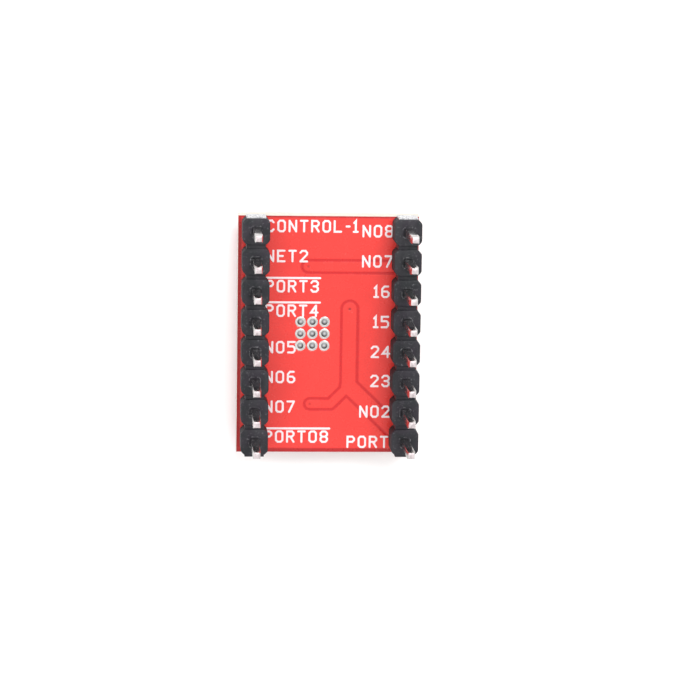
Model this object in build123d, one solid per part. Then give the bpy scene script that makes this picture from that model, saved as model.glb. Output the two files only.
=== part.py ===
from build123d import *
import math
import os

# Stepper motor driver module on two eight-pin headers, lying component side down on its pin tails.
# Millimetres. X runs across the headers, Y along them, Z up towards the long ends of the pins.
# The origin is the middle of the footprint, at the level of the pin tails' ends.

# Board stack
BOARD_W = 15.24
BOARD_L = 20.32
BOARD_T = 1.6
COPPER_T = 0.035
MASK_T = 0.025
TAIL_OUT = 1.4
EDGE_BARE = 0.3
SCORE_Y = 0.17
SCORE_Z = 0.45

# Header rows
PITCH = 2.54
ROW_PINS = 8
ROW_GAP = 12.7
ROW_SHIFT = 0.17
PLASTIC_W = 2.3
PLASTIC_H = 2.54
NECK_LENGTH = 0.34
NECK_INSET = 0.34
NECK_DROP = 0.25
BLOCK_CHAMFER_X = 0.32
BLOCK_CHAMFER_Y = 0.34
RECESS_R = 0.56
RECESS_DEPTH = 0.12
PIN_W = 0.64
PIN_UP = 6.0
TIP_W = 0.5
TIP_H = 0.25

# Plated holes
HOLE_R = 0.52
BARREL_T = 0.03
PAD_R = 0.8
PAD_GAP = 0.22
SOLDER_R = 0.74
SOLDER_TOP_R = 0.47
SOLDER_H = 0.82
SOLDER_WAIST_H = 0.29
SOLDER_WAIST_R = 0.55
FILL_SINK = 0.1

# Vias
CHIP_X = -1.27
CHIP_Y = 0.0
VIA_PITCH = 1.016
VIA_R = 0.3
VIA_PAD_R = 0.455
VIA_DISH = 0.07
SMALL_VIA_R = 0.15
SMALL_VIA_PAD_R = 0.28
VIA_WALL = 0.025

# Tracks seen on the pin side
TRACK_GAP = 0.22
TRUNK_X = 1.88
FORK_Y = -4.49
TRUNK_W = 1.1
POWER_W = 1.2
LOGIC_W = 0.76
BRANCH_W = 0.64

# Tracks and gaps on the component side
COIL_PINS = (2, 3, 4, 5)
COIL_W = 0.2
COIL_GAP = 0.15
COIL_STUB = 0.2
COIL_SPREAD = 0.2
COIL_BEND_X = -4.95
LAND_GAP = 0.18
CHIP_MOAT = 0.55

# Driver chip, a flat leadless package with seven terminals on each side
CHIP_W = 5.0
CHIP_H = 0.9
STANDOFF = 0.035
LEAD_T = 0.2
LEAD_W = 0.25
LEAD_L = 0.55
LEAD_PITCH = 0.5
LEADS_PER_SIDE = 7
CHIP_PAD_W = 3.15
DIE_W = 2.4
DIE_T = 0.25
ATTACH_T = 0.03
WIRE_W = 0.04
WIRE_RISE = 0.14
WIRE_FAN = 0.6
WIRE_ON_DIE = 0.12
WIRE_ON_LEAD = 0.18
WIRE_START = 0.05
WIRE_CREST = 0.45
LAND_OUT = 0.35
LEAD_WETTED = 0.16
DOT_INSET = 0.6
DOT_R = 0.25
DOT_DEPTH = 0.05

# Trimmer potentiometer
TRIM_X = 0.0
TRIM_Y = 7.45
TRIM_W = 3.0
TRIM_L = 3.5
TRIM_BASE_T = 0.5
TRIM_WALL_H = 0.6
TRIM_WELL_R = 1.3
DIAL_R = 1.15
DIAL_T = 0.4
STEM_R = 0.36
STEM_CLEARANCE = 0.04
COLLAR_R = 0.56
COLLAR_T = 0.14
DIAL_SINK = 0.03
DIAL_FLAT_W = 0.4
DIAL_FLAT_DEPTH = 0.1
SLOT_W = 0.42
SLOT_L = 1.6
SLOT_DEPTH = 0.2
FREE_PLAY = 0.02
COLLAR_PLAY = 0.06
COLLAR_SINK = 0.04
STOP_W = 0.36
STOP_DEPTH = 0.12
FILM_T = 0.03
FILM_R = 1.12
FILM_BORE_R = 0.72
FILM_MOUTH_W = 0.7
LEAF_R = 0.62
LEAF_T = 0.06
ARM_W = 0.24
ARM_L = 1.02
CONTACT_Y = -0.92
CONTACT_R = 0.09
NOSE_R = 0.05
NOSE_H = 0.03
CLIP_X = 1.0
CLIP_T = 0.12
CLIP_LAND_W = 0.8
WIPER_LAND_W = 1.2
CLIP_LAND_L = 0.7
CLIP_INSET = 0.05
CLIP_SOLDER = 0.3

# Levels worked out from the stack
Z_BOTTOM = TAIL_OUT
Z_CORE_0 = Z_BOTTOM + MASK_T + COPPER_T
Z_TOP = Z_BOTTOM + BOARD_T
Z_CORE_1 = Z_TOP - MASK_T - COPPER_T
Z_COPPER_0 = Z_BOTTOM + MASK_T
Z_COPPER_1 = Z_TOP - MASK_T
Z_SEAT = Z_COPPER_0 - STANDOFF
MASK_LAP = 0.005

ROW_X = {"left": ROW_SHIFT - ROW_GAP / 2, "right": ROW_SHIFT + ROW_GAP / 2}
PIN_Y = [(i - (ROW_PINS - 1) / 2) * PITCH for i in range(ROW_PINS)]
PIN_Y.reverse()
PIN_SPOTS = [(ROW_X[side], y) for side in ("left", "right") for y in PIN_Y]
CHIP_VIAS = [
    (CHIP_X + i * VIA_PITCH, CHIP_Y + j * VIA_PITCH)
    for i in (-1, 0, 1)
    for j in (-1, 0, 1)
]

LOGIC_Y = 5.72
SENSE_Y = -6.03
LOGIC_END = (-1.68, LOGIC_Y)
LOGIC_BEND = (5.6, LOGIC_Y)
TRUNK_END = (TRUNK_X, 2.11)
SENSE_END = (-1.42, SENSE_Y)
FORK = (TRUNK_X, FORK_Y)
KNEE = (TRUNK_X + SENSE_Y - FORK_Y, SENSE_Y)

# Pin side tracks: start, end, width
PIN_SIDE_TRACKS = [
    (LOGIC_END, LOGIC_BEND, LOGIC_W),
    (LOGIC_BEND, (ROW_X["right"], PIN_Y[1]), LOGIC_W),
    (TRUNK_END, FORK, TRUNK_W),
    (FORK, (ROW_X["right"], PIN_Y[7]), POWER_W),
    (FORK, KNEE, BRANCH_W),
    (KNEE, SENSE_END, BRANCH_W),
]
SMALL_VIAS = [LOGIC_END, TRUNK_END, SENSE_END, (-4.4, 4.6), (4.6, -3.6), (-4.7, -4.4)]

# Two-ended parts on the component side: middle, length along X, width, height, end cap length
SENSE_RESISTORS = [((3.55, 1.25), 3.2, 1.6, 0.55, 0.45), ((3.55, -1.25), 3.2, 1.6, 0.55, 0.45)]
SUPPLY_CAPS = [((-2.55, -7.7), 3.2, 1.6, 1.1, 0.5), ((2.15, -7.7), 3.2, 1.6, 1.1, 0.5)]
SMALL_CAPS = [((x, 3.85), 1.6, 0.8, 0.8, 0.32) for x in (-3.6, -0.95, 1.7, 4.2)]
SMALL_CAPS += [((x, -4.35), 1.6, 0.8, 0.8, 0.32) for x in (-3.0, -0.3)]
SMALL_RESISTORS = [((x, y), 1.6, 0.8, 0.45, 0.3) for x in (-3.4, 3.4) for y in (6.55, 8.15)]
SMALL_RESISTORS += [((2.4, -4.35), 1.6, 0.8, 0.45, 0.3), ((4.0, -5.7), 1.6, 0.8, 0.45, 0.3)]
TWO_ENDED = SENSE_RESISTORS + SUPPLY_CAPS + SMALL_CAPS + SMALL_RESISTORS
CERAMIC_COAT_T = 0.05
CAP_WRAP = 0.03
CAP_WETTED = 0.55
LAND_EXTRA = 0.3

# Shape of a small solder wedge: its lip at the land and its hollow face
LIP_W = 0.02
LIP_T = 0.03
HOLLOW_OUT = 0.3
HOLLOW_UP = 0.45


def block(x0, x1, y0, y1, z0, z1):
    """Box between two opposite corners."""
    middle = Pos((x0 + x1) / 2, (y0 + y1) / 2, (z0 + z1) / 2)
    return middle * Box(x1 - x0, y1 - y0, z1 - z0)


def rod(x, y, r, z0, z1):
    """Upright cylinder between two levels."""
    return Pos(x, y, (z0 + z1) / 2) * Cylinder(r, z1 - z0)


def slab(sketch, z0, z1):
    """Flat outline raised between two levels, given in either order."""
    return extrude(Pos(0, 0, min(z0, z1)) * sketch, amount=abs(z1 - z0), dir=(0, 0, 1))


def ring(r, bore, z0, z1):
    """Upright tube round the Z axis between two levels."""
    return slab(Circle(r) - Circle(bore), z0, z1)


def square_bar(width, z0, z1):
    """Upright square bar round the Z axis between two levels."""
    return block(-width / 2, width / 2, -width / 2, width / 2, z0, z1)


def discs(spots, r):
    """Equal circles at the given places, as one sketch."""
    return Sketch() + [Pos(x, y) * Circle(r) for x, y in spots]


def rectangles(lands):
    """Rectangles given as middle x, middle y, width, length."""
    return Sketch() + [Pos(x, y) * Rectangle(w, l) for x, y, w, l in lands]


def strips(tracks, extra=0.0):
    """Round-ended tracks, each made wider by extra on both sides."""
    shapes = []
    for (x0, y0), (x1, y1), width in tracks:
        span = math.hypot(x1 - x0, y1 - y0)
        turn = math.degrees(math.atan2(y1 - y0, x1 - x0))
        middle = Pos((x0 + x1) / 2, (y0 + y1) / 2)
        shapes.append(middle * SlotCenterToCenter(span, width + 2 * extra, rotation=turn))
    return Sketch() + shapes


def revolved(points):
    """Solid turned about Z from an outline of radius and height pairs."""
    outline = make_face(Polyline(*[(r, 0, z) for r, z in points], close=True))
    return revolve(outline, axis=Axis.Z)


def board_core():
    """Glass-epoxy core with its drilled holes and the slopes left where its +Y end was scored."""
    half = BOARD_L / 2
    slope = SCORE_Y / SCORE_Z
    step = SCORE_Y - slope * (MASK_T + COPPER_T)
    flank = Z_TOP - SCORE_Z
    foot = Z_BOTTOM + SCORE_Z
    ends = [(half, foot), (half, flank), (half - step, Z_CORE_1)]
    ends += [(-half, Z_CORE_1), (-half, Z_CORE_0), (half - step, Z_CORE_0)]
    profile = make_face(Polyline(*[(0, y, z) for y, z in ends], close=True))
    core = extrude(profile, amount=BOARD_W / 2, both=True, dir=(1, 0, 0))
    drills = discs(PIN_SPOTS, HOLE_R) + discs(CHIP_VIAS, VIA_R) + discs(SMALL_VIAS, SMALL_VIA_R)
    return core - slab(drills, Z_BOTTOM, Z_TOP)


def pour_outline():
    """Copper area: the board without its bare edge strip."""
    return Rectangle(BOARD_W - 2 * EDGE_BARE, BOARD_L - 2 * EDGE_BARE)


def mask_outline():
    """Lacquered area: the board up to the scored slopes."""
    return Pos(0, -SCORE_Y / 2) * Rectangle(BOARD_W, BOARD_L - SCORE_Y)


def copper_holes():
    """Everything that passes through both copper layers."""
    through = discs(PIN_SPOTS, HOLE_R) + discs(CHIP_VIAS, VIA_PAD_R)
    return through + discs(SMALL_VIAS, SMALL_VIA_PAD_R)


def pin_side_pattern():
    """Copper pour with the power tracks parted from it by grooves."""
    clear = strips(PIN_SIDE_TRACKS, TRACK_GAP) + discs(PIN_SPOTS, PAD_R + PAD_GAP)
    kept = strips(PIN_SIDE_TRACKS) + discs(PIN_SPOTS, PAD_R)
    return pour_outline() - clear + kept


def side_places():
    """Offsets of the terminals along one chip side."""
    return [(k - (LEADS_PER_SIDE - 1) / 2) * LEAD_PITCH for k in range(LEADS_PER_SIDE)]


def side_lands():
    """Solder lands of one chip side, with the terminals pointing along +X."""
    reach = CHIP_W / 2 - LEAD_L
    length = LEAD_L + LAND_OUT
    return [(reach + length / 2, y, length, LEAD_W) for y in side_places()]


def chip_lands():
    """The chip's four rows of lands and its square heat land."""
    row = rectangles(side_lands())
    rows = [Rot(0, 0, 90 * turn) * row for turn in range(4)]
    return Pos(CHIP_X, CHIP_Y) * (Sketch() + rows + Rectangle(CHIP_PAD_W, CHIP_PAD_W))


def two_ended_lands():
    """Two lands under each two-ended part."""
    lands = []
    for (x, y), length, width, _, cap in TWO_ENDED:
        land = cap + LAND_EXTRA
        for side in (-1, 1):
            lands.append((x + side * (length / 2 - cap + land / 2), y, land, width))
    return lands


def trimmer_lands():
    """Three lands of the trimmer, two at one end and one at the other."""
    reach = TRIM_L / 2
    return [
        (TRIM_X - CLIP_X, TRIM_Y - reach, CLIP_LAND_W, CLIP_LAND_L),
        (TRIM_X + CLIP_X, TRIM_Y - reach, CLIP_LAND_W, CLIP_LAND_L),
        (TRIM_X, TRIM_Y + reach, WIPER_LAND_W, CLIP_LAND_L),
    ]


def component_lands():
    """All bare lands of the component side."""
    return chip_lands() + rectangles(two_ended_lands()) + rectangles(trimmer_lands())


def coil_tracks():
    """Short tracks from the chip's sides to the header holes beside them."""
    tracks = []
    for k, pin in enumerate(COIL_PINS):
        rank = (len(COIL_PINS) - 1) / 2 - k
        start = (CHIP_X - CHIP_W / 2 - COIL_STUB, CHIP_Y + rank * LEAD_PITCH)
        bend = (COIL_BEND_X, CHIP_Y + rank * (LEAD_PITCH + COIL_SPREAD))
        tracks.append((start, bend, COIL_W))
        tracks.append((bend, (ROW_X["left"], PIN_Y[pin]), COIL_W))
    return tracks


def component_side_pattern():
    """Copper pour with a gap round each land and signal track."""
    gap = 2 * LAND_GAP
    wide = [(x, y, w + gap, l + gap) for x, y, w, l in two_ended_lands() + trimmer_lands()]
    chip_side = CHIP_W + 2 * CHIP_MOAT
    moat = rectangles(wide) + Pos(CHIP_X, CHIP_Y) * Rectangle(chip_side, chip_side)
    clear = moat + discs(PIN_SPOTS, PAD_R + PAD_GAP) + strips(coil_tracks(), COIL_GAP)
    kept = component_lands() + discs(PIN_SPOTS, PAD_R) + strips(coil_tracks())
    return pour_outline() - clear + kept


def copper_layer(pattern, z0):
    """Etched copper foil at one level."""
    return slab(pattern - copper_holes(), z0, z0 + COPPER_T)


def mask_layer(pattern, bare, z_copper, z_laminate, z_outer):
    """Lacquer that lies higher on copper than on the laminate between it."""
    lap = math.copysign(MASK_LAP, z_outer - z_copper)
    between = mask_outline() - pattern
    return slab(pattern - bare, z_copper, z_outer) + slab(between, z_laminate, z_copper + lap)


def pin_side_mask():
    """Lacquer on the pin side, open at header pads and heat vias."""
    bare = discs(PIN_SPOTS, PAD_R) + discs(CHIP_VIAS, VIA_PAD_R)
    layer = mask_layer(pin_side_pattern(), bare, Z_COPPER_1, Z_CORE_1, Z_TOP)
    dimples = slab(discs(SMALL_VIAS, SMALL_VIA_R), Z_TOP - MASK_T / 2, Z_TOP)
    return layer - dimples


def component_side_mask():
    """Lacquer on the component side, open at every land."""
    bare = component_lands() + discs(PIN_SPOTS, PAD_R)
    return mask_layer(component_side_pattern(), bare, Z_COPPER_0, Z_CORE_0, Z_BOTTOM)


def plated_barrel():
    """Copper sleeve of one header hole, at the origin."""
    return ring(HOLE_R, HOLE_R - BARREL_T, Z_COPPER_0, Z_COPPER_1)


def via_sleeve(r, pad_r):
    """Via sleeve with a flat ring at each end, at the origin."""
    bore = r - VIA_WALL
    points = [(bore, Z_COPPER_0), (pad_r, Z_COPPER_0), (pad_r, Z_CORE_0), (r, Z_CORE_0)]
    points += [(r, Z_CORE_1), (pad_r, Z_CORE_1), (pad_r, Z_COPPER_1), (bore, Z_COPPER_1)]
    return revolved(points)


def via_fill():
    """Solder plug of a heat via, dished on the pin side."""
    bore = VIA_R - VIA_WALL
    plug = rod(0, 0, bore, Z_COPPER_0, Z_COPPER_1)
    ball_r = (bore**2 + VIA_DISH**2) / (2 * VIA_DISH)
    return plug - Pos(0, 0, Z_COPPER_1 - VIA_DISH + ball_r) * Sphere(ball_r)


def header_pin():
    """Square post with a tapered tip at both ends, at the origin."""
    height = Z_TOP + PLASTIC_H + PIN_UP
    shank = square_bar(PIN_W, TIP_H, height - TIP_H)
    full = Rectangle(PIN_W, PIN_W)
    small = Rectangle(TIP_W, TIP_W)
    lower = loft([Pos(0, 0, 0) * small, Pos(0, 0, TIP_H) * full])
    upper = loft([Pos(0, 0, height - TIP_H) * full, Pos(0, 0, height) * small])
    return shank + lower + upper


def pin_solder():
    """Joint of one pin: the filled hole and the cone on the component side, at the origin."""
    bore = HOLE_R - BARREL_T
    foot = Z_COPPER_0 - SOLDER_H
    waist = Z_COPPER_0 - SOLDER_WAIST_H
    fill = Z_COPPER_1 - FILL_SINK
    points = [(0, foot), (SOLDER_TOP_R, foot), (SOLDER_WAIST_R, waist), (SOLDER_R, Z_COPPER_0)]
    points += [(bore, Z_COPPER_0), (bore, fill), (0, fill)]
    return revolved(points) - square_bar(PIN_W, 0, Z_TOP)


def header_plastic(side):
    """Insulator strip: eight-sided blocks joined by low necks, snapped off through a neck at each end."""
    x = ROW_X[side]
    half_w = PLASTIC_W / 2
    half_l = (PITCH - NECK_LENGTH) / 2
    flank_x = half_w - BLOCK_CHAMFER_X
    flank_y = half_l - BLOCK_CHAMFER_Y
    corner = [(half_w, flank_y), (flank_x, half_l), (-flank_x, half_l), (-half_w, flank_y)]
    corner += [(-half_w, -flank_y), (-flank_x, -half_l), (flank_x, -half_l), (half_w, -flank_y)]
    outline = make_face(Polyline(*corner, close=True))
    spots = [(x, y) for y in PIN_Y]
    blocks = Sketch() + [Pos(px, py) * outline for px, py in spots]
    neck_half = half_w - NECK_INSET
    strip_end = ROW_PINS * PITCH / 2
    top = Z_TOP + PLASTIC_H
    neck = block(x - neck_half, x + neck_half, -strip_end, strip_end, Z_TOP, top - NECK_DROP)
    strip = slab(blocks, Z_TOP, top) + neck
    squares = rectangles([(px, py, PIN_W, PIN_W) for px, py in spots])
    recess = slab(discs(spots, RECESS_R), top - RECESS_DEPTH, top)
    return strip - slab(squares, Z_TOP, top) - recess


def four_sides(shape):
    """Copies of a chip part on all four sides, moved to the chip's place."""
    middle = Pos(CHIP_X, CHIP_Y, 0)
    return [middle * Rot(0, 0, 90 * turn) * piece for turn in range(4) for piece in shape]


def chip_leads():
    """Terminals of the leadless package, flush with its sides."""
    inner = CHIP_W / 2 - LEAD_L
    half = LEAD_W / 2
    row = [block(inner, CHIP_W / 2, y - half, y + half, Z_SEAT - LEAD_T, Z_SEAT) for y in side_places()]
    return four_sides(row)


def chip_heat_pad():
    """Exposed square pad under the die."""
    return Pos(CHIP_X, CHIP_Y, 0) * square_bar(CHIP_PAD_W, Z_SEAT - LEAD_T, Z_SEAT)


def chip_die_attach():
    """Thin bond layer between the heat pad and the die."""
    face = Z_SEAT - LEAD_T
    return Pos(CHIP_X, CHIP_Y, 0) * square_bar(DIE_W, face - ATTACH_T, face)


def chip_die():
    """Silicon die."""
    face = Z_SEAT - LEAD_T - ATTACH_T
    return Pos(CHIP_X, CHIP_Y, 0) * square_bar(DIE_W, face - DIE_T, face)


def bond_wire(y_lead):
    """Flat arch from the die's face to one terminal, for the side facing +X."""
    y_die = y_lead * WIRE_FAN
    x_die = DIE_W / 2 - WIRE_ON_DIE
    x_lead = CHIP_W / 2 - LEAD_L + WIRE_ON_LEAD
    span = math.hypot(x_lead - x_die, y_lead - y_die)
    turn = math.degrees(math.atan2(y_lead - y_die, x_lead - x_die))
    die_face = Z_SEAT - LEAD_T - ATTACH_T - DIE_T
    lead_face = Z_SEAT - LEAD_T
    crest = die_face - WIRE_RISE
    bend = span * WIRE_CREST
    outer = [(0, die_face), (WIRE_START, crest), (bend, crest), (span - WIRE_W, lead_face)]
    inner = [(span, lead_face), (bend + WIRE_W, crest - WIRE_W), (0, crest - WIRE_W)]
    inner.append((-WIRE_W, die_face))
    arch = make_face(Polyline(*[(a, 0, z) for a, z in outer + inner], close=True))
    wire = extrude(arch, amount=WIRE_W / 2, both=True, dir=(0, 1, 0))
    return Pos(x_die, y_die, 0) * Rot(0, 0, turn) * wire


def chip_bond_wires():
    """Gold wires from the die to every terminal."""
    return four_sides([bond_wire(y) for y in side_places()])


def chip_mould(inner):
    """Moulded body round the chip's metal and silicon, with a dot at its first terminal."""
    face = Z_SEAT - CHIP_H
    body = Pos(CHIP_X, CHIP_Y, 0) * square_bar(CHIP_W, face, Z_SEAT)
    offset = CHIP_W / 2 - DOT_INSET
    dot = rod(CHIP_X - offset, CHIP_Y + offset, DOT_R, face, face + DOT_DEPTH)
    for piece in [dot] + inner:
        body = body - piece
    return body


def solder_wedge(inner, end, outer, rise, width):
    """Solder under a terminal and up its end face; the terminal points along +X."""
    points = [(inner, Z_COPPER_0), (outer, Z_COPPER_0), (outer - LIP_W, Z_COPPER_0 - LIP_T)]
    points += [(end + HOLLOW_OUT * (outer - end), Z_SEAT - HOLLOW_UP * rise)]
    points += [(end, Z_SEAT - rise), (end, Z_SEAT), (inner, Z_SEAT)]
    face = make_face(Polyline(*[(x, 0, z) for x, z in points], close=True))
    return extrude(face, amount=width / 2, both=True, dir=(0, 1, 0))


def chip_terminal_solder():
    """Solder wedges on the chip's terminals."""
    inner = CHIP_W / 2 - LEAD_L
    end = CHIP_W / 2
    wedge = solder_wedge(inner, end, end + LAND_OUT, LEAD_WETTED, LEAD_W)
    return four_sides([Pos(0, y, 0) * wedge for y in side_places()])


def chip_heat_solder():
    """Solder between the heat pad and the board."""
    return Pos(CHIP_X, CHIP_Y, 0) * square_bar(CHIP_PAD_W, Z_SEAT, Z_COPPER_0)


def two_ended_body(part):
    """Ceramic block between the end caps, a little smaller than them."""
    (x, y), length, width, height, cap = part
    half_l = length / 2 - CAP_WRAP
    half_w = width / 2 - CAP_WRAP
    top = Z_SEAT - height + CAP_WRAP
    return block(x - half_l, x + half_l, y - half_w, y + half_w, top, Z_SEAT - CAP_WRAP)


def two_ended_caps(part):
    """Pair of plated metal ends folded round the ceramic block."""
    (x, y), length, width, height, cap = part
    body = two_ended_body(part)
    caps = []
    for side in (-1, 1):
        far = x + side * length / 2
        near = far - side * cap
        x0, x1 = sorted((far, near))
        shell = block(x0, x1, y - width / 2, y + width / 2, Z_SEAT - height, Z_SEAT)
        caps.append(shell - body)
    return caps


def resistor_coat(part):
    """Glaze over the resistive layer, between the caps on the outward face."""
    (x, y), length, width, height, cap = part
    half_l = length / 2 - cap
    half_w = width / 2 - CAP_WRAP
    level = Z_SEAT - height + CAP_WRAP
    return block(x - half_l, x + half_l, y - half_w, y + half_w, level - CERAMIC_COAT_T, level)


def two_ended_solder(part):
    """Solder at both ends of a two-ended part."""
    (x, y), length, width, height, cap = part
    inner = length / 2 - cap
    end = length / 2
    wedge = solder_wedge(inner, end, end + LAND_EXTRA, CAP_WETTED * height, width)
    return [Pos(x, y, 0) * Rot(0, 0, turn) * wedge for turn in (0, 180)]


def trimmer_levels():
    """Levels of the trimmer's base face, rim, and the dial's outer and inner faces."""
    base = Z_SEAT - TRIM_BASE_T
    rim = base - TRIM_WALL_H
    dial_outer = rim + DIAL_SINK
    return base, rim, dial_outer, dial_outer + DIAL_T


def trimmer_base():
    """Ceramic base plate with a bore for the stem and a sunk seat for its collar."""
    base, _, _, _ = trimmer_levels()
    half_w = TRIM_W / 2
    half_l = TRIM_L / 2 - CLIP_T
    plate = block(-half_w, half_w, -half_l, half_l, base, Z_SEAT)
    bore = rod(0, 0, STEM_R + STEM_CLEARANCE, base, Z_SEAT)
    sink = rod(0, 0, COLLAR_R + COLLAR_PLAY, Z_SEAT - COLLAR_T - 2 * COLLAR_SINK, Z_SEAT)
    return Pos(TRIM_X, TRIM_Y, 0) * (plate - bore - sink)


def trimmer_housing():
    """Square frame with a round well that guards the dial."""
    base, rim, _, _ = trimmer_levels()
    inner = TRIM_WELL_R - STOP_DEPTH
    stop = block(-STOP_W / 2, STOP_W / 2, inner, TRIM_W / 2, rim, base)
    well = rod(0, 0, TRIM_WELL_R, rim, base)
    return Pos(TRIM_X, TRIM_Y, 0) * (square_bar(TRIM_W, rim, base) - well + stop)


def trimmer_element():
    """Horseshoe of resistive film on the base, open towards the single terminal."""
    base, _, _, _ = trimmer_levels()
    film = ring(FILM_R, FILM_BORE_R, base - FILM_T, base)
    mouth = block(-FILM_MOUTH_W / 2, FILM_MOUTH_W / 2, 0, FILM_R + FILM_T, base - FILM_T, base)
    return Pos(TRIM_X, TRIM_Y, 0) * (film - mouth)


def trimmer_terminals():
    """Three metal clips folded round the ends of the base."""
    base, _, _, _ = trimmer_levels()
    clips = []
    for x, y, width, _ in trimmer_lands():
        middle_y = y - math.copysign(CLIP_T / 2, y - TRIM_Y)
        y0 = middle_y - CLIP_T / 2
        y1 = middle_y + CLIP_T / 2
        half = width / 2 - CLIP_INSET
        clips.append(block(x - half, x + half, y0, y1, base, Z_SEAT))
    return clips


def trimmer_solder():
    """Solder under and outside the trimmer's clips."""
    wedges = []
    for x, y, width, _ in trimmer_lands():
        side = math.copysign(1, y - TRIM_Y)
        wedge = solder_wedge(-CLIP_T, 0, CLIP_SOLDER, CLIP_SOLDER, width - 2 * CLIP_INSET)
        wedges.append(Pos(x, y, 0) * Rot(0, 0, 90 * side) * wedge)
    return wedges


def trimmer_dial():
    """Turning dial with a cross slot on its outward face and a stem through the base."""
    _, _, outer, inner = trimmer_levels()
    disc = rod(0, 0, DIAL_R, outer, inner)
    bar = block(-SLOT_L / 2, SLOT_L / 2, -SLOT_W / 2, SLOT_W / 2, outer, outer + SLOT_DEPTH)
    cross = bar + Rot(0, 0, 90) * bar
    stem = rod(0, 0, STEM_R, inner, Z_SEAT - FREE_PLAY)
    half = DIAL_FLAT_W / 2
    flat = block(-half, half, DIAL_R - DIAL_FLAT_DEPTH, DIAL_R + DIAL_FLAT_DEPTH, outer, inner)
    return Pos(TRIM_X, TRIM_Y, 0) * (disc - cross - flat + stem)


def trimmer_collar():
    """Swaged ring that holds the stem in the base."""
    top = Z_SEAT - COLLAR_SINK
    return Pos(TRIM_X, TRIM_Y, 0) * ring(COLLAR_R, STEM_R, top - COLLAR_T, top)


def trimmer_wiper():
    """Spring leaf on the dial with one rounded contact over the resistive film."""
    base, _, _, inner = trimmer_levels()
    leaf_face = inner + LEAF_T
    leaf = ring(LEAF_R, STEM_R, inner, leaf_face)
    arm = block(-ARM_W / 2, ARM_W / 2, -ARM_L, (STEM_R - ARM_L) / 2, inner, leaf_face)
    film_face = base - FILM_T - FREE_PLAY
    bead = rod(0, CONTACT_Y, CONTACT_R, inner, film_face - NOSE_H)
    nose = rod(0, CONTACT_Y, NOSE_R, film_face - NOSE_H, film_face)
    return Pos(TRIM_X, TRIM_Y, 0) * (leaf + arm + bead + nose)


def save(name, shape):
    """Write one node; a list becomes a group of separate solids."""
    solids = Compound(children=shape) if isinstance(shape, list) else shape
    export_step(solids, f"parts/{name}.step")


def save_board():
    """Board layers, hole sleeves and vias."""
    save("board_core", board_core())
    save("pin_side_copper", copper_layer(pin_side_pattern(), Z_CORE_1))
    save("component_side_copper", copper_layer(component_side_pattern(), Z_COPPER_0))
    save("pin_side_mask", pin_side_mask())
    save("component_side_mask", component_side_mask())
    save("heat_via_sleeves", [Pos(x, y, 0) * via_sleeve(VIA_R, VIA_PAD_R) for x, y in CHIP_VIAS])
    save("heat_via_solder", [Pos(x, y, 0) * via_fill() for x, y in CHIP_VIAS])
    small = via_sleeve(SMALL_VIA_R, SMALL_VIA_PAD_R)
    save("signal_via_sleeves", [Pos(x, y, 0) * small for x, y in SMALL_VIAS])


def save_headers():
    """Header strips, their pins, hole sleeves and solder."""
    for side in ("left", "right"):
        spots = [Pos(ROW_X[side], y, 0) for y in PIN_Y]
        save(f"{side}_header_plastic", header_plastic(side))
        save(f"{side}_hole_sleeves", [spot * plated_barrel() for spot in spots])
        save(f"{side}_pin_solder", [spot * pin_solder() for spot in spots])
    for number, (x, y) in enumerate(PIN_SPOTS, start=1):
        save(f"header_pin_{number:02d}", Pos(x, y, 0) * header_pin())


def save_chip():
    """Driver chip with everything inside its moulding."""
    leads = chip_leads()
    wires = chip_bond_wires()
    heat_pad = chip_heat_pad()
    attach = chip_die_attach()
    die = chip_die()
    save("chip_terminals", leads)
    save("chip_bond_wires", wires)
    save("chip_heat_pad", heat_pad)
    save("chip_die_attach", attach)
    save("chip_die", die)
    save("chip_moulding", chip_mould(leads + wires + [heat_pad, attach, die]))
    save("chip_terminal_solder", chip_terminal_solder())
    save("chip_heat_solder", chip_heat_solder())


def save_two_ended():
    """Resistors and capacitors, each kind as bodies and caps, and all their solder."""
    for name, group in (
        ("sense_resistor", SENSE_RESISTORS),
        ("supply_capacitor", SUPPLY_CAPS),
        ("small_capacitor", SMALL_CAPS),
        ("small_resistor", SMALL_RESISTORS),
    ):
        save(f"{name}_bodies", [two_ended_body(part) for part in group])
        save(f"{name}_caps", [cap for part in group for cap in two_ended_caps(part)])
    save("sense_resistor_glaze", [resistor_coat(part) for part in SENSE_RESISTORS])
    save("small_resistor_glaze", [resistor_coat(part) for part in SMALL_RESISTORS])
    save("component_solder", [wedge for part in TWO_ENDED for wedge in two_ended_solder(part)])


def save_trimmer():
    """Trimmer potentiometer that sets the motor current."""
    save("trimmer_base", trimmer_base())
    save("trimmer_housing", trimmer_housing())
    save("trimmer_element", trimmer_element())
    save("trimmer_terminals", trimmer_terminals())
    save("trimmer_solder", trimmer_solder())
    save("trimmer_dial", trimmer_dial())
    save("trimmer_collar", trimmer_collar())
    save("trimmer_wiper", trimmer_wiper())


os.makedirs("parts", exist_ok=True)
save_board()
save_headers()
save_chip()
save_two_ended()
save_trimmer()
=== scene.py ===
import math

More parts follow.
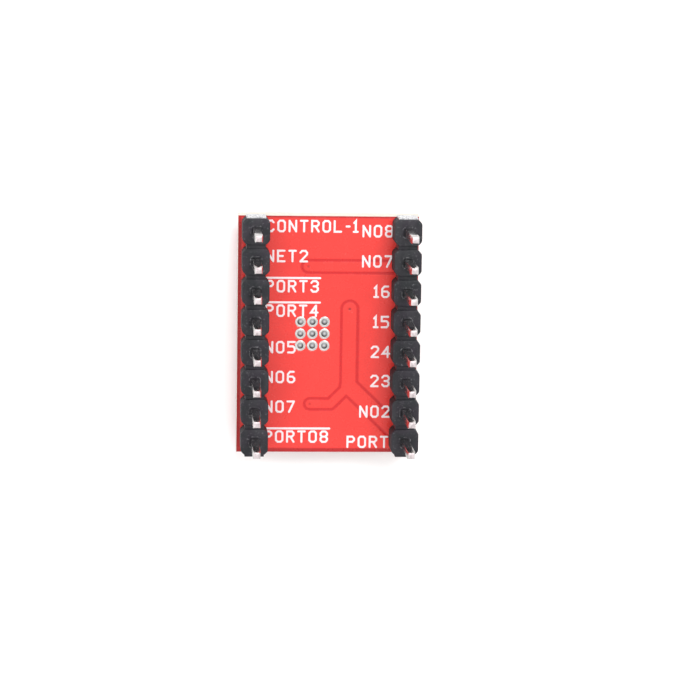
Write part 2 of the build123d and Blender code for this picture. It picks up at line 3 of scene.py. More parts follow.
import bmesh
import bpy
import numpy as np
from bpy.props import FloatProperty, FloatVectorProperty, PointerProperty
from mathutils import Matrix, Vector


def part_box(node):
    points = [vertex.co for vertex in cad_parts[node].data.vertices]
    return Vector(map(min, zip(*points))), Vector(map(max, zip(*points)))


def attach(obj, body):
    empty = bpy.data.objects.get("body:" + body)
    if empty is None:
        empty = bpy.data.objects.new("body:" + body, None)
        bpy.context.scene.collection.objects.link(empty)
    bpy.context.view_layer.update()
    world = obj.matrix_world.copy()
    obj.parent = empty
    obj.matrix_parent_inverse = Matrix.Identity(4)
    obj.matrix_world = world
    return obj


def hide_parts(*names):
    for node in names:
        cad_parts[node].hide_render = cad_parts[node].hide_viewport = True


bl_info = {
    "name": "Stepper driver module",
    "version": (1, 0, 0),
    "blender": (4, 5, 0),
    "location": "3D View > Sidebar > Driver module",
    "description": "Makes the visible surfaces and finishes of a stepper driver module on its packed frame",
    "category": "Add Mesh",
}

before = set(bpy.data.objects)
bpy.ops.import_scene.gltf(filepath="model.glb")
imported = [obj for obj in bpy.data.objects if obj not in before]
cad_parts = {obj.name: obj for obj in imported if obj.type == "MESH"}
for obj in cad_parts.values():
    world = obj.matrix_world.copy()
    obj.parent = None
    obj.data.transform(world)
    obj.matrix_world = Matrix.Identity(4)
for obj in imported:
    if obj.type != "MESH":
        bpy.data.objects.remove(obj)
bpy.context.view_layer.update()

# Places taken from the frame, in metres

MM = 0.001
ROOT = "module"
DIAL = "dial"


def corners(node):
    """Lowest and highest corner of a frame node as two arrays."""
    low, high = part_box(node)
    return np.array(low), np.array(high)


BOARD_LOW, BOARD_HIGH = corners("board_core")
LACQUER_LOW, LACQUER_HIGH = corners("pin_side_mask")
UNDER_LACQUER_LOW = corners("component_side_mask")[0]
UNDER_FOIL_LOW = corners("component_side_copper")[0]
SLEEVES_LOW, SLEEVES_HIGH = corners("heat_via_sleeves")
ROW_PINS = 8
PIN_NODES = [f"header_pin_{number:02d}" for number in range(1, 2 * ROW_PINS + 1)]
PIN_BOXES = [corners(node) for node in PIN_NODES]
PIN_PLACES = [(low + high)[:2] / 2 for low, high in PIN_BOXES]
PIN_HALF = (PIN_BOXES[0][1][0] - PIN_BOXES[0][0][0]) / 2
PITCH = PIN_PLACES[0][1] - PIN_PLACES[1][1]
SURFACE = LACQUER_HIGH[2]

# Heat vias: three by three on one pitch
VIA_PITCH = 1.016 * MM
VIA_PAD_R = (SLEEVES_HIGH[0] - SLEEVES_LOW[0]) / 2 - VIA_PITCH
VIA_MIDDLE = (SLEEVES_LOW + SLEEVES_HIGH)[:2] / 2
HEAT_VIAS = VIA_MIDDLE + VIA_PITCH * np.array([(i, j) for i in (-1, 0, 1) for j in (-1, 0, 1)])

# Power tracks of the pin side: start, end, width
LOGIC_Y = 5.72 * MM
SENSE_Y = -6.03 * MM
TRUNK_X = 1.88 * MM
FORK_Y = -4.49 * MM
TRUNK_W = 1.1 * MM
POWER_W = 1.2 * MM
LOGIC_W = 0.76 * MM
BRANCH_W = 0.64 * MM
LOGIC_END = (-1.68 * MM, LOGIC_Y)
LOGIC_BEND = (5.6 * MM, LOGIC_Y)
TRUNK_END = (TRUNK_X, 2.11 * MM)
SENSE_END = (-1.42 * MM, SENSE_Y)
FORK = (TRUNK_X, FORK_Y)
KNEE = (TRUNK_X + SENSE_Y - FORK_Y, SENSE_Y)
TRACKS = [
    (LOGIC_END, LOGIC_BEND, LOGIC_W),
    (LOGIC_BEND, PIN_PLACES[9], LOGIC_W),
    (TRUNK_END, FORK, TRUNK_W),
    (FORK, PIN_PLACES[15], POWER_W),
    (FORK, KNEE, BRANCH_W),
    (KNEE, SENSE_END, BRANCH_W),
]
SMALL_VIAS = [LOGIC_END, TRUNK_END, SENSE_END]
SMALL_VIAS += [(x * MM, y * MM) for x, y in ((-4.4, 4.6), (4.6, -3.6), (-4.7, -4.4))]

# Depth of each small via's dimple as a share of the deepest, which also sets how dark its painted shade is
VIA_HOLLOWS = [0.55, 1.0, 0.55, 0.2, 0.2, 0.2]

# Strokes of the legend's letters on a grid four wide and six high
RING = [(1, 0), (3, 0), (4, 1), (4, 5), (3, 6), (1, 6), (0, 5), (0, 1), (1, 0)]
HOOK = [(0, 5), (1, 6), (3, 6), (4, 5), (4, 4)]
BOWL = [(0, 0), (0, 6), (3, 6), (4, 5), (4, 4), (3, 3), (0, 3)]
LETTERS = {
    "-": [[(0.4, 3), (2.2, 3)]],
    "0": [RING],
    "1": [[(0.2, 5), (1.2, 6), (1.2, 0)], [(0, 0), (2.4, 0)]],
    "2": [HOOK + [(0, 0)], [(0, 0), (4, 0)]],
    "3": [HOOK + [(3, 3), (1.4, 3)], [(3, 3), (4, 2), (4, 1), (3, 0), (1, 0), (0, 1)]],
    "4": [[(3, 0), (3, 6)], [(3, 6), (0, 2), (4, 2)]],
    "5": [[(4, 6), (0, 6), (0, 3.5), (3, 3.5), (4, 2.5), (4, 1), (3, 0), (0, 0)]],
    "6": [[(3.6, 6), (1.4, 6), (0, 4.6), (0, 1), (1, 0), (3, 0), (4, 1), (4, 2.2), (3, 3.2), (0, 3.2)]],
    "7": [[(0, 6), (4, 6)], [(4, 6), (1, 0)]],
    "8": [
        [(1, 3), (0, 4)] + HOOK + [(3, 3), (1, 3)],
        [(1, 3), (0, 2), (0, 1), (1, 0), (3, 0), (4, 1), (4, 2), (3, 3)],
    ],
    "C": [[(4, 5), (3, 6), (1, 6), (0, 5), (0, 1), (1, 0), (3, 0), (4, 1)]],
    "E": [[(4, 0), (0, 0), (0, 6), (4, 6)], [(0, 3), (3, 3)]],
    "L": [[(0, 6), (0, 0), (4, 0)]],
    "N": [[(0, 0), (0, 6)], [(0, 6), (4, 0)], [(4, 0), (4, 6)]],
    "O": [RING],
    "P": [BOWL],
    "R": [BOWL, [(2, 3), (4, 0)]],
    "T": [[(0, 6), (4, 6)], [(2, 6), (2, 0)]],
}
GRID_W = 4
GRID_H = 6
THIN_LETTERS = "-1"

# Labels: text, left end and foot in millimetres, and whether a bar runs over it
LEFT_TEXT_X = -5.3
LABELS = [
    ("CONTROL-1", LEFT_TEXT_X, 8.6, False),
    ("NET2", LEFT_TEXT_X, 6.06, False),
    ("PORT3", LEFT_TEXT_X, 3.5, True),
    ("PORT4", LEFT_TEXT_X, 1.42, True),
    ("NO5", LEFT_TEXT_X, -1.7, False),
    ("NO6", LEFT_TEXT_X, -4.25, False),
    ("NO7", LEFT_TEXT_X, -6.8, False),
    ("PORT08", LEFT_TEXT_X, -9.38, True),
    ("NO8", 2.84, 8.22, False),
    ("NO7", 2.84, 5.66, False),
    ("16", 3.84, 3.08, False),
    ("15", 3.84, 0.5, False),
    ("24", 3.7, -2.06, False),
    ("23", 3.7, -4.56, False),
    ("NO2", 2.8, -7.2, False),
    ("PORT", 1.76, -9.82, False),
]

# Seeds of the random draws: the heat vias' solder, the pins' lean and the climb of their solder
VIA_SEED = 5
LEAN_SEED = 7
CLIMB_SEED = 11

# Where the camera stands in metres, and its turn about X, Y and Z
CAMERA_PLACE = (-0.01392, 0.03107, 0.22314)
CAMERA_TURN = tuple(math.radians(angle) for angle in (-8.425, -3.992, 0.88))


# Settings


def length(name, description, millimetres):
    """A size in metres, its default given in millimetres."""
    kind = {"subtype": "DISTANCE", "unit": "LENGTH", "precision": 6}
    return FloatProperty(name=name, description=description, default=millimetres * MM, min=0.0, **kind)


def factor(name, description, default):
    """A plain number between nought and one."""
    span = {"min": 0.0, "max": 1.0, "subtype": "FACTOR"}
    return FloatProperty(name=name, description=description, default=default, **span)


def colour(name, description, default):
    """A linear colour."""
    span = {"size": 3, "min": 0.0, "max": 1.0, "subtype": "COLOR"}
    return FloatVectorProperty(name=name, description=description, default=default, **span)


def number(name, description, default):
    """A plain number."""
    return FloatProperty(name=name, description=description, default=default)


def triple(name, description, subtype, unit, default):
    """Three numbers of one kind, such as a place or a turn."""
    kind = {"subtype": subtype, "unit": unit}
    return FloatVectorProperty(name=name, description=description, default=default, **kind)


class LacquerSettings(bpy.types.PropertyGroup):
    """Red lacquer of both board faces."""

    step: length("Grid step", "Distance between points of the lacquer's surface", 0.062)
    groove: length("Groove width", "Gap etched between a track and the copper round it", 0.30)
    sink: length("Groove depth", "How far the lacquer sinks where copper is missing", 0.022)
    edge: length("Bare edge", "Width of the strip without copper along the board's edges", 0.3)
    over_copper: colour("Red over copper", "Lacquer colour where copper lies under it", (0.80, 0.038, 0.030))
    over_board: colour("Red over laminate", "Lacquer colour in grooves and at edges", (0.56, 0.008, 0.010))
    gloss: factor("Roughness", "Roughness of the lacquer", 0.24)


class LegendSettings(bpy.types.PropertyGroup):
    """Printed labels beside the pins."""

    cap_height: length("Cap height", "Height of the letters, outside the strokes", 1.07)
    letter_width: length("Letter width", "Width of a letter, outside the strokes", 0.73)
    advance: length("Advance", "Distance from one letter to the next", 0.95)
    thin_advance: length("Thin advance", "Distance after a narrow letter", 0.67)
    stroke: length("Stroke", "Width of the strokes", 0.174)
    ink: length("Ink thickness", "Height of the ink above the lacquer", 0.018)
    ink_colour: colour("Ink colour", "Colour of the print", (0.86, 0.74, 0.76))


class HeaderSettings(bpy.types.PropertyGroup):
    """Moulded header strips."""

    neck_length: length("Neck length", "Gap between two blocks of a strip", 0.34)
    neck_inset: length("Neck inset", "How far a neck stands back from the blocks' sides", 0.34)
    neck_drop: length("Neck drop", "How far a neck lies below the blocks' tops", 0.25)
    chamfer_x: length("Chamfer across", "Cut of a block's corner across the strip", 0.32)
    chamfer_y: length("Chamfer along", "Cut of a block's corner along the strip", 0.34)
    edge_r: length("Edge radius", "Rounding of the blocks' top edges", 0.07)
    corner_r: length("Corner radius", "Rounding of the blocks' upright edges", 0.32)
    recess_r: length("Recess radius", "Radius of the shallow recess round each pin", 0.55)
    recess_depth: length("Recess depth", "Depth of the recess round each pin", 0.06)
    plastic: colour("Plastic", "Colour of the moulding", (0.011, 0.011, 0.0125))


class PinSettings(bpy.types.PropertyGroup):
    """Square header pins."""

    corner_r: length("Corner radius", "Rounding of the pins' long edges", 0.055)
    tip_half: length("Tip half width", "Half width of the sheared end face", 0.245)
    tip_height: length("Tip height", "Length of the tapered tip", 0.25)
    lean: length("Lean", "Largest sideways shift of a pin's long end", 0.02)
    tin: colour("Tin", "Colour of the plating", (0.44, 0.42, 0.41))


class SolderSettings(bpy.types.PropertyGroup):
    """Solder joints and filled vias."""

    cone_r: length("Cone radius", "Radius of a pin's solder at its pad", 0.76)
    cone_height: length("Cone height", "How far the solder climbs a pin", 0.85)
    rim: length("Rim height", "Height of a heat via's tinned ring above the lacquer", 0.012)
    moat: length("Moat depth", "How far the dark ring inside the rim lies below it", 0.075)
    dome: length("Dome height", "How far a heat via's middle rises from the moat", 0.06)
    solder: colour("Solder", "Colour of the solder", (0.74, 0.74, 0.75))


class StageSettings(bpy.types.PropertyGroup):
    """Floor, light and camera."""

    lens: number("Lens", "Focal length in millimetres on a 36 mm sensor", 135.3)
    place: triple("Camera place", "Where the camera stands", "TRANSLATION", "LENGTH", CAMERA_PLACE)
    turn: triple("Camera turn", "Turn of the camera about X, Y and Z", "EULER", "ROTATION", CAMERA_TURN)
    sky: number("Sky strength", "Strength of the sky overhead", 1.05)
    horizon: number("Horizon strength", "Strength of the sky at the horizon", 0.62)
    key: number("Key power", "Power of the larger panel in watts", 1.4)
    floor: colour("Floor", "Colour of the floor", (0.98, 0.98, 0.98))


# Shells: closed surfaces as arrays of points and faces


def grid_faces(rows, columns, closed_rows, closed_columns):
    """Four-sided faces of a grid: each face joins a point, its right neighbour and the two above them."""
    index = np.arange(rows * columns).reshape(rows, columns)
    if closed_rows:
        index = np.vstack([index, index[:1]])
    if closed_columns:
        index = np.hstack([index, index[:, :1]])
    sides = [index[:-1, :-1], index[:-1, 1:], index[1:, 1:], index[1:, :-1]]
    return np.stack(sides, axis=-1).reshape(-1, 4)


def outward(points, quads, triangles):
    """The shell with its faces turned outwards: the sum of corner products over all faces is positive."""
    split = np.vstack([quads[:, [0, 1, 2]], quads[:, [0, 2, 3]], triangles])
    a, b, c = (points[split[:, k]] for k in range(3))
    if np.einsum("ij,ij->i", a, np.cross(b, c)).sum() < 0:
        quads = quads[:, ::-1]
        triangles = triangles[:, ::-1]
    return points, quads, triangles


def tube(rings, closed=False):
    """Shell from rings of points. Rows follow the path and columns go round it.

    An open tube gets a fan from each end ring to its mean point. A closed one joins its last ring to its
    first."""
    rows, columns = rings.shape[:2]
    points = rings.reshape(-1, 3)
    quads = grid_faces(rows, columns, closed, True)
    triangles = np.zeros((0, 3), int)
    if not closed:
        first = np.arange(columns)
        last = first + (rows - 1) * columns
        start = np.full(columns, rows * columns)
        points = np.vstack([points, rings[0].mean(0), rings[-1].mean(0)])
        fan_start = np.stack([start, np.roll(first, -1), first], axis=1)
        fan_end = np.stack([start + 1, last, np.roll(last, -1)], axis=1)
        triangles = np.vstack([fan_start, fan_end])
    return outward(points, quads, triangles)


def rounded_outline(corner_points, radius, steps=4, inset=0.0):
    """Convex outline with an arc in each corner, moved inwards along its normals by inset.

    Each arc's middle lies inside its corner by radius along both edges' normals; the arc turns from the
    normal of the edge before it to the normal of the edge after it."""
    spots = np.asarray(corner_points, float)
    ahead = np.roll(spots, -1, axis=0) - spots
    after = np.stack([ahead[:, 1], -ahead[:, 0]], axis=1)
    after /= np.linalg.norm(after, axis=1, keepdims=True)
    before = np.roll(after, 1, axis=0)
    spread = 1 + (before * after).sum(1, keepdims=True)
    middle = spots - radius * (before + after) / spread
    start = np.arctan2(before[:, 1], before[:, 0])
    sweep = (np.arctan2(after[:, 1], after[:, 0]) - start) % (2 * np.pi)
    angle = start[:, None] + sweep[:, None] * np.linspace(0, 1, steps)
    normal = np.stack([np.cos(angle), np.sin(angle)], axis=-1)
    return (middle[:, None] + (radius - inset) * normal).reshape(-1, 2)


def box_corners(half_x, half_y):
    """Corners of a rectangle about the origin, counter-clockwise."""
    return [(half_x, half_y), (-half_x, half_y), (-half_x, -half_y), (half_x, -half_y)]


def at_height(outline, z):
    """Flat outline as a ring of points at height z."""
    return np.column_stack([outline, np.full(len(outline), z)])


def around(steps):
    """Angles of equal steps round a full turn."""
    return np.linspace(0, 2 * np.pi, steps, endpoint=False)


def turned(place, angle, radius, height):
    """Rings about an upright axis at the given angles; radius and height have a row for each ring."""
    rings = np.empty((len(height), len(angle), 3))
    rings[..., 0] = place[0] + radius * np.cos(angle)
    rings[..., 1] = place[1] + radius * np.sin(angle)
    rings[..., 2] = height
    return rings


def placed(name, mesh, material, sharp, body):
    """Object of a mesh in one finish, smooth but for edges sharper than an angle, riding on a body."""
    mesh.materials.clear()
    mesh.materials.append(material)
    mesh.shade_smooth()
    mesh.set_sharp_from_angle(angle=math.radians(sharp))
    piece = bpy.data.objects.new(name, mesh)
    bpy.context.scene.collection.objects.link(piece)
    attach(piece, body)
    return piece


def build(name, shells, material, sharp=35.0, marks=None):
    """One piece of the module from several shells, with optional point attributes."""
    counts = [len(points) for points, _, _ in shells]
    firsts = np.cumsum([0] + counts[:-1])
    points = np.vstack([points for points, _, _ in shells])
    quads = np.vstack([quads + first for (_, quads, _), first in zip(shells, firsts)])
    triangles = np.vstack([triangles + first for (_, _, triangles), first in zip(shells, firsts)])
    mesh = bpy.data.meshes.new(name)
    mesh.from_pydata(points.tolist(), [], quads.tolist() + triangles.tolist())
    for mark, values in (marks or {}).items():
        layer = mesh.attributes.new(mark, "FLOAT", "POINT")
        layer.data.foreach_set("value", np.asarray(values, np.float32))
    if mesh.validate(verbose=False):
        raise RuntimeError(f"{name} had faces that could not be kept")
    return placed(name, mesh, material, sharp, ROOT)


def softened(node, name, width, material, body=ROOT):
    """Copy of a frame node with its points merged, its flat faces joined and its edges bevelled."""
    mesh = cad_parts[node].data.copy()
    shape = bmesh.new()
    shape.from_mesh(mesh)
    bmesh.ops.remove_doubles(shape, verts=shape.verts, dist=0.0005 * MM)
    bmesh.ops.dissolve_limit(shape, angle_limit=math.radians(1), verts=shape.verts, edges=shape.edges)
    shape.to_mesh(mesh)
    shape.free()
    piece = placed(name, mesh, material, 30.0, body)
    bevel = piece.modifiers.new("Edges", "BEVEL")
    bevel.width = width
    bevel.segments = 2
    bevel.limit_method = "ANGLE"
    bevel.angle_limit = math.radians(35)
    bevel.harden_normals = False
    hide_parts(node)
    return piece


def smooth(low, high, value):
    """Nought below low, one above high, and the cubic 3t*t - 2t*t*t between them."""
    t = np.clip((value - low) / (high - low), 0, 1)
    return t * t * (3 - 2 * t)


# Finishes


def feed(tree, socket, value):
    """Join a socket to another, or set it."""
    if isinstance(value, bpy.types.NodeSocket):
        tree.links.new(value, socket)
    else:
        socket.default_value = value


def add_node(tree, kind, options=None, inputs=None):
    """New node with its options set and its inputs given values or joined to sockets."""
    node = tree.nodes.new(kind)
    for key, value in (options or {}).items():
        setattr(node, key, value)
    for key, value in (inputs or {}).items():
        feed(tree, node.inputs[key], value)
    return node


class Finish:
    """Material under construction: a Principled shader and the textures that feed it."""

    def __init__(self, name, base, roughness, metallic=0.0, specular=0.5):
        self.material = bpy.data.materials.new(name)
        self.material.use_nodes = True
        self.tree = self.material.node_tree
        self.shader = self.tree.nodes["Principled BSDF"]
        self.place = self.add("ShaderNodeTexCoord").outputs["Object"]
        self.set("Base Color", (*base, 1.0))
        self.set("Roughness", roughness)
        self.set("Metallic", metallic)
        self.set("Specular IOR Level", specular)

    def add(self, kind, options=None, inputs=None):
        """New node of the material."""
        return add_node(self.tree, kind, options, inputs)

    def set(self, name, value):
        """Feed one input of the shader."""
        feed(self.tree, self.shader.inputs[name], value)

    def stretched(self, scale):
        """Object coordinates scaled apart along the three axes."""
        return self.add("ShaderNodeMapping", inputs={"Vector": self.place, "Scale": scale}).outputs["Vector"]

    def noise(self, per_mm, detail=3.0, rough=0.55, place=None, distortion=0.0):
        """Noise with about per_mm lumps in each millimetre."""
        inputs = {"Vector": place or self.place, "Scale": per_mm / MM, "Detail": detail, "Roughness": rough}
        inputs["Distortion"] = distortion
        return self.add("ShaderNodeTexNoise", inputs=inputs).outputs["Fac"]

    def specks(self, per_mm, size):
        """One inside scattered round dots and nought elsewhere."""
        cells = self.add("ShaderNodeTexVoronoi", inputs={"Vector": self.place, "Scale": per_mm / MM})
        return self.remap(cells.outputs["Distance"], size, size * 0.6, 0.0, 1.0)

    def remap(self, value, low, high, to_low, to_high):
        """Value moved from one range to another and held inside it."""
        inputs = {"Value": value, "From Min": low, "From Max": high, "To Min": to_low, "To Max": to_high}
        return self.add("ShaderNodeMapRange", inputs=inputs).outputs["Result"]

    def maths(self, operation, first, second):
        """Arithmetic on two values."""
        node = self.add("ShaderNodeMath", {"operation": operation}, {0: first, 1: second})
        return node.outputs["Value"]

    def times(self, first, second):
        """Product of two values."""
        return self.maths("MULTIPLY", first, second)

    def at_least(self, value, mark, amount):
        """Value held at the amount or more where the mark is one."""
        return self.maths("MAXIMUM", value, self.times(mark, amount))

    def blend(self, amount, first, second):
        """Colour between two others."""
        node = self.add("ShaderNodeMix", {"data_type": "RGBA"}, {"Factor": amount})
        for key, value in (("A", first), ("B", second)):
            socket = next(s for s in node.inputs if s.name == key and s.type == "RGBA")
            feed(self.tree, socket, (*value, 1.0) if isinstance(value, tuple) else value)
        return next(s for s in node.outputs if s.type == "RGBA")

    def tint(self, tone, value, low, high, amount, colour):
        """Tone moved towards a colour: by the amount where the value is high, not at all where it is low."""
        return self.blend(self.remap(value, low, high, 0.0, amount), tone, colour)

    def wave(self, options, inputs):
        """Bands or rings that repeat."""
        return self.add("ShaderNodeTexWave", options, inputs).outputs["Fac"]

    def mark(self, name):
        """Point attribute of the mesh."""
        return self.add("ShaderNodeAttribute", {"attribute_name": name}).outputs["Fac"]

    def made(self, tone, rough, layers):
        """The material, given its colour, its roughness and the layers of its relief.

        Each layer is a height, its depth in millimetres and its strength."""
        normal = None
        for height, depth, strength in layers:
            inputs = {"Height": height, "Distance": depth * MM, "Strength": strength}
            if normal is not None:
                inputs["Normal"] = normal
            normal = self.add("ShaderNodeBump", inputs=inputs).outputs["Normal"]
        self.set("Normal", normal)
        self.set("Base Color", tone)
        self.set("Roughness", rough)
        return self.material


def shade(base, amount):
    """Colour made darker or lighter by a factor."""
    return tuple(min(1.0, channel * amount) for channel in base)


def lacquer_finish(name, settings, outer=None):
    """Glossy red lacquer, darker where it lies on bare laminate.

    The depth behind the outer level, or the mesh's own marks where none is given, tells copper from laminate;
    the painted_shade mark adds painted shade in the small vias' dimples and along the bare edge strip.
    Mottling, a faint cloth weave and dust specks vary the colour; lumps of two sizes make the orange peel."""
    red = tuple(settings.over_copper)
    dark = tuple(settings.over_board)
    dust_tone = (0.95, 0.80, 0.76)
    finish = Finish(name, red, settings.gloss)
    if outer is None:
        copper = finish.mark("copper")
        painted_shade = finish.mark("painted_shade")
    else:
        height = finish.add("ShaderNodeSeparateXYZ", inputs={"Vector": finish.place}).outputs["Z"]
        copper = finish.remap(height, outer + 0.018 * MM, outer + 0.002 * MM, 0.0, 1.0)
        painted_shade = 0.0
    mottle = finish.noise(0.35, detail=2.0)
    fine = finish.noise(9.0, detail=2.0)
    lit = finish.tint(red, mottle, 0.35, 0.7, 1.0, shade(red, 0.93))
    lit = finish.tint(lit, fine, 0.45, 0.75, 0.12, shade(red, 0.8))
    tone = finish.blend(copper, dark, lit)
    # painted shade: darkens the lacquer in the small vias' dimples and along the bare edge strip
    tone = finish.blend(painted_shade, tone, shade(dark, 0.35))
    tone = finish.blend(finish.times(finish.specks(1.1, 0.03), 0.3), tone, dust_tone)
    rough = finish.remap(finish.noise(1.1), 0.3, 0.75, settings.gloss * 0.75, settings.gloss * 1.5)
    bands = {"Vector": finish.stretched((2 / MM, 2 / MM, 0.0)), "Scale": 0.3, "Distortion": 0.5}
    across = finish.wave({"bands_direction": "X"}, bands)
    along = finish.wave({"bands_direction": "Y"}, bands)
    weave = finish.times(across, along)
    peel = finish.noise(2.6, detail=1.0)
    return finish.made(tone, rough, [(weave, 0.004, 0.25), (peel, 0.010, 0.35), (fine, 0.003, 0.3)])


def ink_finish(settings):
    """Screen-printed ink: off-white, thinner and redder in places, with a grainy surface."""
    white = tuple(settings.ink_colour)
    thin = (0.90, 0.55, 0.55)
    finish = Finish("legend ink", white, 0.5, specular=0.35)
    tone = finish.tint(white, finish.noise(6.0), 0.5, 0.78, 0.35, thin)
    rough = finish.remap(finish.noise(14.0), 0.3, 0.7, 0.4, 0.62)
    return finish.made(tone, rough, [(finish.noise(18.0, detail=2.0), 0.006, 0.5)])


def plastic_finish(settings):
    """Black glass-filled moulding: fine grain, cloudy tints, pale scuffs and dust on its tops.

    Its walls are matt, the edges of its recesses carry a painted highlight of pale broken arcs, and the ends
    where the strip was snapped off are torn and pale."""
    black = tuple(settings.plastic)
    cool, warm = (0.014, 0.016, 0.019), (0.024, 0.020, 0.028)
    # glint_grey: colour of the painted highlight on the recess edges
    scuffed, glint_grey, dusty = (0.34, 0.34, 0.36), (0.42, 0.42, 0.44), (0.42, 0.41, 0.40)
    torn_dark, torn_pale = (0.24, 0.24, 0.255), (0.80, 0.80, 0.81)
    finish = Finish("header moulding", black, 0.45, specular=0.3)
    grain = finish.noise(22.0, detail=2.0)
    cloud = finish.noise(0.8)
    flow = finish.noise(1.3, detail=4.0, place=finish.stretched((1.0, 0.35, 1.6)))
    wall = finish.mark("wall")
    broken = finish.mark("snapped")
    tone = finish.tint(cool, cloud, 0.38, 0.62, 1.0, warm)
    tone = finish.tint(tone, flow, 0.45, 0.8, 1.0, shade(black, 3.0))
    scratches = finish.noise(4.5, detail=6.0, rough=0.75, distortion=0.6)
    top = finish.maths("SUBTRACT", 1.0, wall)
    scuffs = finish.times(finish.remap(scratches, 0.58, 0.72, 0.0, 0.45), top)
    tone = finish.blend(scuffs, tone, scuffed)
    # painted highlight: pale broken arcs along the recess edges, where they catch the light
    glint = finish.times(finish.remap(scratches, 0.46, 0.62, 0.0, 0.6), finish.mark("recess_glint"))
    tone = finish.blend(glint, tone, glint_grey)
    tone = finish.blend(finish.times(finish.specks(2.4, 0.06), 0.4), tone, dusty)
    fibres = finish.noise(7.0, detail=5.0, rough=0.7, place=finish.stretched((1.0, 1.0, 0.3)))
    torn_tone = finish.tint(torn_dark, fibres, 0.36, 0.62, 1.0, torn_pale)
    tone = finish.blend(broken, tone, torn_tone)
    soft = finish.remap(cloud, 0.3, 0.7, 0.34, 0.5)
    rough = finish.maths("ADD", soft, finish.remap(grain, 0.3, 0.7, 0.0, 0.1))
    rough = finish.at_least(finish.at_least(rough, wall, 0.74), broken, 0.8)
    torn = finish.times(fibres, broken)
    return finish.made(tone, rough, [(grain, 0.004, 0.35), (flow, 0.012, 0.25), (torn, 0.05, 0.8)])


def pin_finish(settings):
    """Bright tin drawn along the pin: long streaks, small pits, and duller sheared ends, whose pale faintly
    pink tone is partly the cut metal's own and partly a painted highlight of the upward end faces.
    """
    tin = tuple(settings.tin)
    end_highlight_pale, end_highlight_dark = (0.72, 0.64, 0.65), (0.52, 0.45, 0.46)
    finish = Finish("pin tin", tin, 0.2, metallic=1.0)
    streaks = finish.noise(9.0, place=finish.stretched((1.0, 1.0, 0.06)))
    tone = finish.tint(tin, finish.noise(1.4, detail=4.0), 0.48, 0.75, 0.55, shade(tin, 0.7))
    end = finish.mark("end_face")
    # painted highlight: the upward end faces made pale and faintly pink over the cut metal's rougher finish
    sheared = finish.tint(end_highlight_pale, finish.noise(5.0), 0.4, 0.65, 1.0, end_highlight_dark)
    tone = finish.blend(end, tone, sheared)
    rough = finish.at_least(finish.remap(streaks, 0.3, 0.7, 0.1, 0.24), end, 0.42)
    return finish.made(tone, rough, [(streaks, 0.002, 0.25), (finish.noise(6.0), 0.002, 0.25)])


def solder_finish(name, settings, middle=None):
    """Cooled solder: satin, faintly rippled, with grey flux stains; a via's dished middle gets painted shade.
    """
    base = tuple(settings.solder)
    finish = Finish(name, base, 0.3, metallic=1.0)
    tone = finish.tint(base, finish.noise(2.4, detail=4.0), 0.45, 0.75, 0.6, shade(base, 0.72))
    rough = finish.remap(finish.noise(5.0, detail=4.0), 0.3, 0.7, 0.2, 0.42)
    if middle:
        painted_moat_shade = finish.mark(middle)
        # painted shade: the via's moat darkened nearly to black
        tone = finish.blend(painted_moat_shade, tone, shade(base, 0.05))
        rough = finish.at_least(rough, painted_moat_shade, 0.5)
    ripples = finish.noise(3.0, detail=2.0)
    return finish.made(tone, rough, [(ripples, 0.010, 0.35), (finish.noise(16.0), 0.003, 0.35)])


def laminate_finish():
    """Sawn glass-epoxy: pale resin with bands of glass cloth and short bright fibre ends."""
    resin, cloth = (0.58, 0.54, 0.47), (0.66, 0.645, 0.59)
    bright, burnt = (0.76, 0.74, 0.69), (0.42, 0.37, 0.27)
    finish = Finish("glass laminate", resin, 0.72, specular=0.35)
    plies = {"Vector": finish.place, "Scale": 1.6 / MM, "Distortion": 0.8, "Detail Scale": 2.0}
    layers = finish.wave({"bands_direction": "Z"}, plies)
    fibres = finish.noise(5.0, detail=4.0, rough=0.7, place=finish.stretched((0.5, 0.5, 4.0)))
    tufts = finish.noise(3.0, detail=5.0, rough=0.7)
    tone = finish.tint(resin, layers, 0.2, 0.8, 0.6, cloth)
    tone = finish.tint(tone, fibres, 0.45, 0.7, 0.7, bright)
    tone = finish.tint(tone, tufts, 0.6, 0.8, 0.5, burnt)
    rough = finish.remap(fibres, 0.3, 0.7, 0.6, 0.85)
    return finish.made(tone, rough, [(layers, 0.010, 0.4), (fibres, 0.020, 0.6), (tufts, 0.02, 0.5)])


def grained_finish(name, base, roughness, lumps=8.0, contrast=0.25, metallic=0.0, depth=0.004):
    """General finish of a small part: mottled colour, uneven roughness and a fine grain."""
    finish = Finish(name, base, roughness, metallic=metallic)
    grain = finish.noise(lumps, detail=4.0)
    cloud = finish.noise(lumps * 0.2, detail=2.0)
    tone = finish.tint(base, cloud, 0.35, 0.7, 1.0, shade(base, 1 - contrast))
    tone = finish.tint(tone, grain, 0.5, 0.8, 0.5, shade(base, 1 + contrast))
    rough = finish.remap(grain, 0.3, 0.7, roughness * 0.8, roughness * 1.25)
    return finish.made(tone, rough, [(grain, depth, 0.45), (cloud, depth * 2, 0.25)])


def turned_finish(name, base, middle):
    """Lathe-turned metal: fine rings about the dial's axis over a brushed grain."""
    finish = Finish(name, base, 0.28, metallic=1.0)
    shift = {"Vector": finish.place, "Location": (-middle[0], -middle[1], 0)}
    centred = finish.add("ShaderNodeMapping", inputs=shift).outputs["Vector"]
    turned = {"wave_type": "RINGS", "rings_direction": "Z"}
    rings = finish.wave(turned, {"Vector": centred, "Scale": 4.0 / MM, "Distortion": 0.4})
    tone = finish.tint(base, finish.noise(2.0, detail=4.0), 0.4, 0.75, 0.6, shade(base, 0.7))
    rough = finish.remap(rings, 0.2, 0.8, 0.2, 0.36)
    return finish.made(tone, rough, [(rings, 0.003, 0.4), (finish.noise(10.0), 0.003, 0.3)])


def coat(nodes, material):
    """Give frame nodes a finish through their own slots."""
    for node in nodes:
        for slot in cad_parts[node].material_slots:
            slot.material = material


# Shapes of this module's pieces


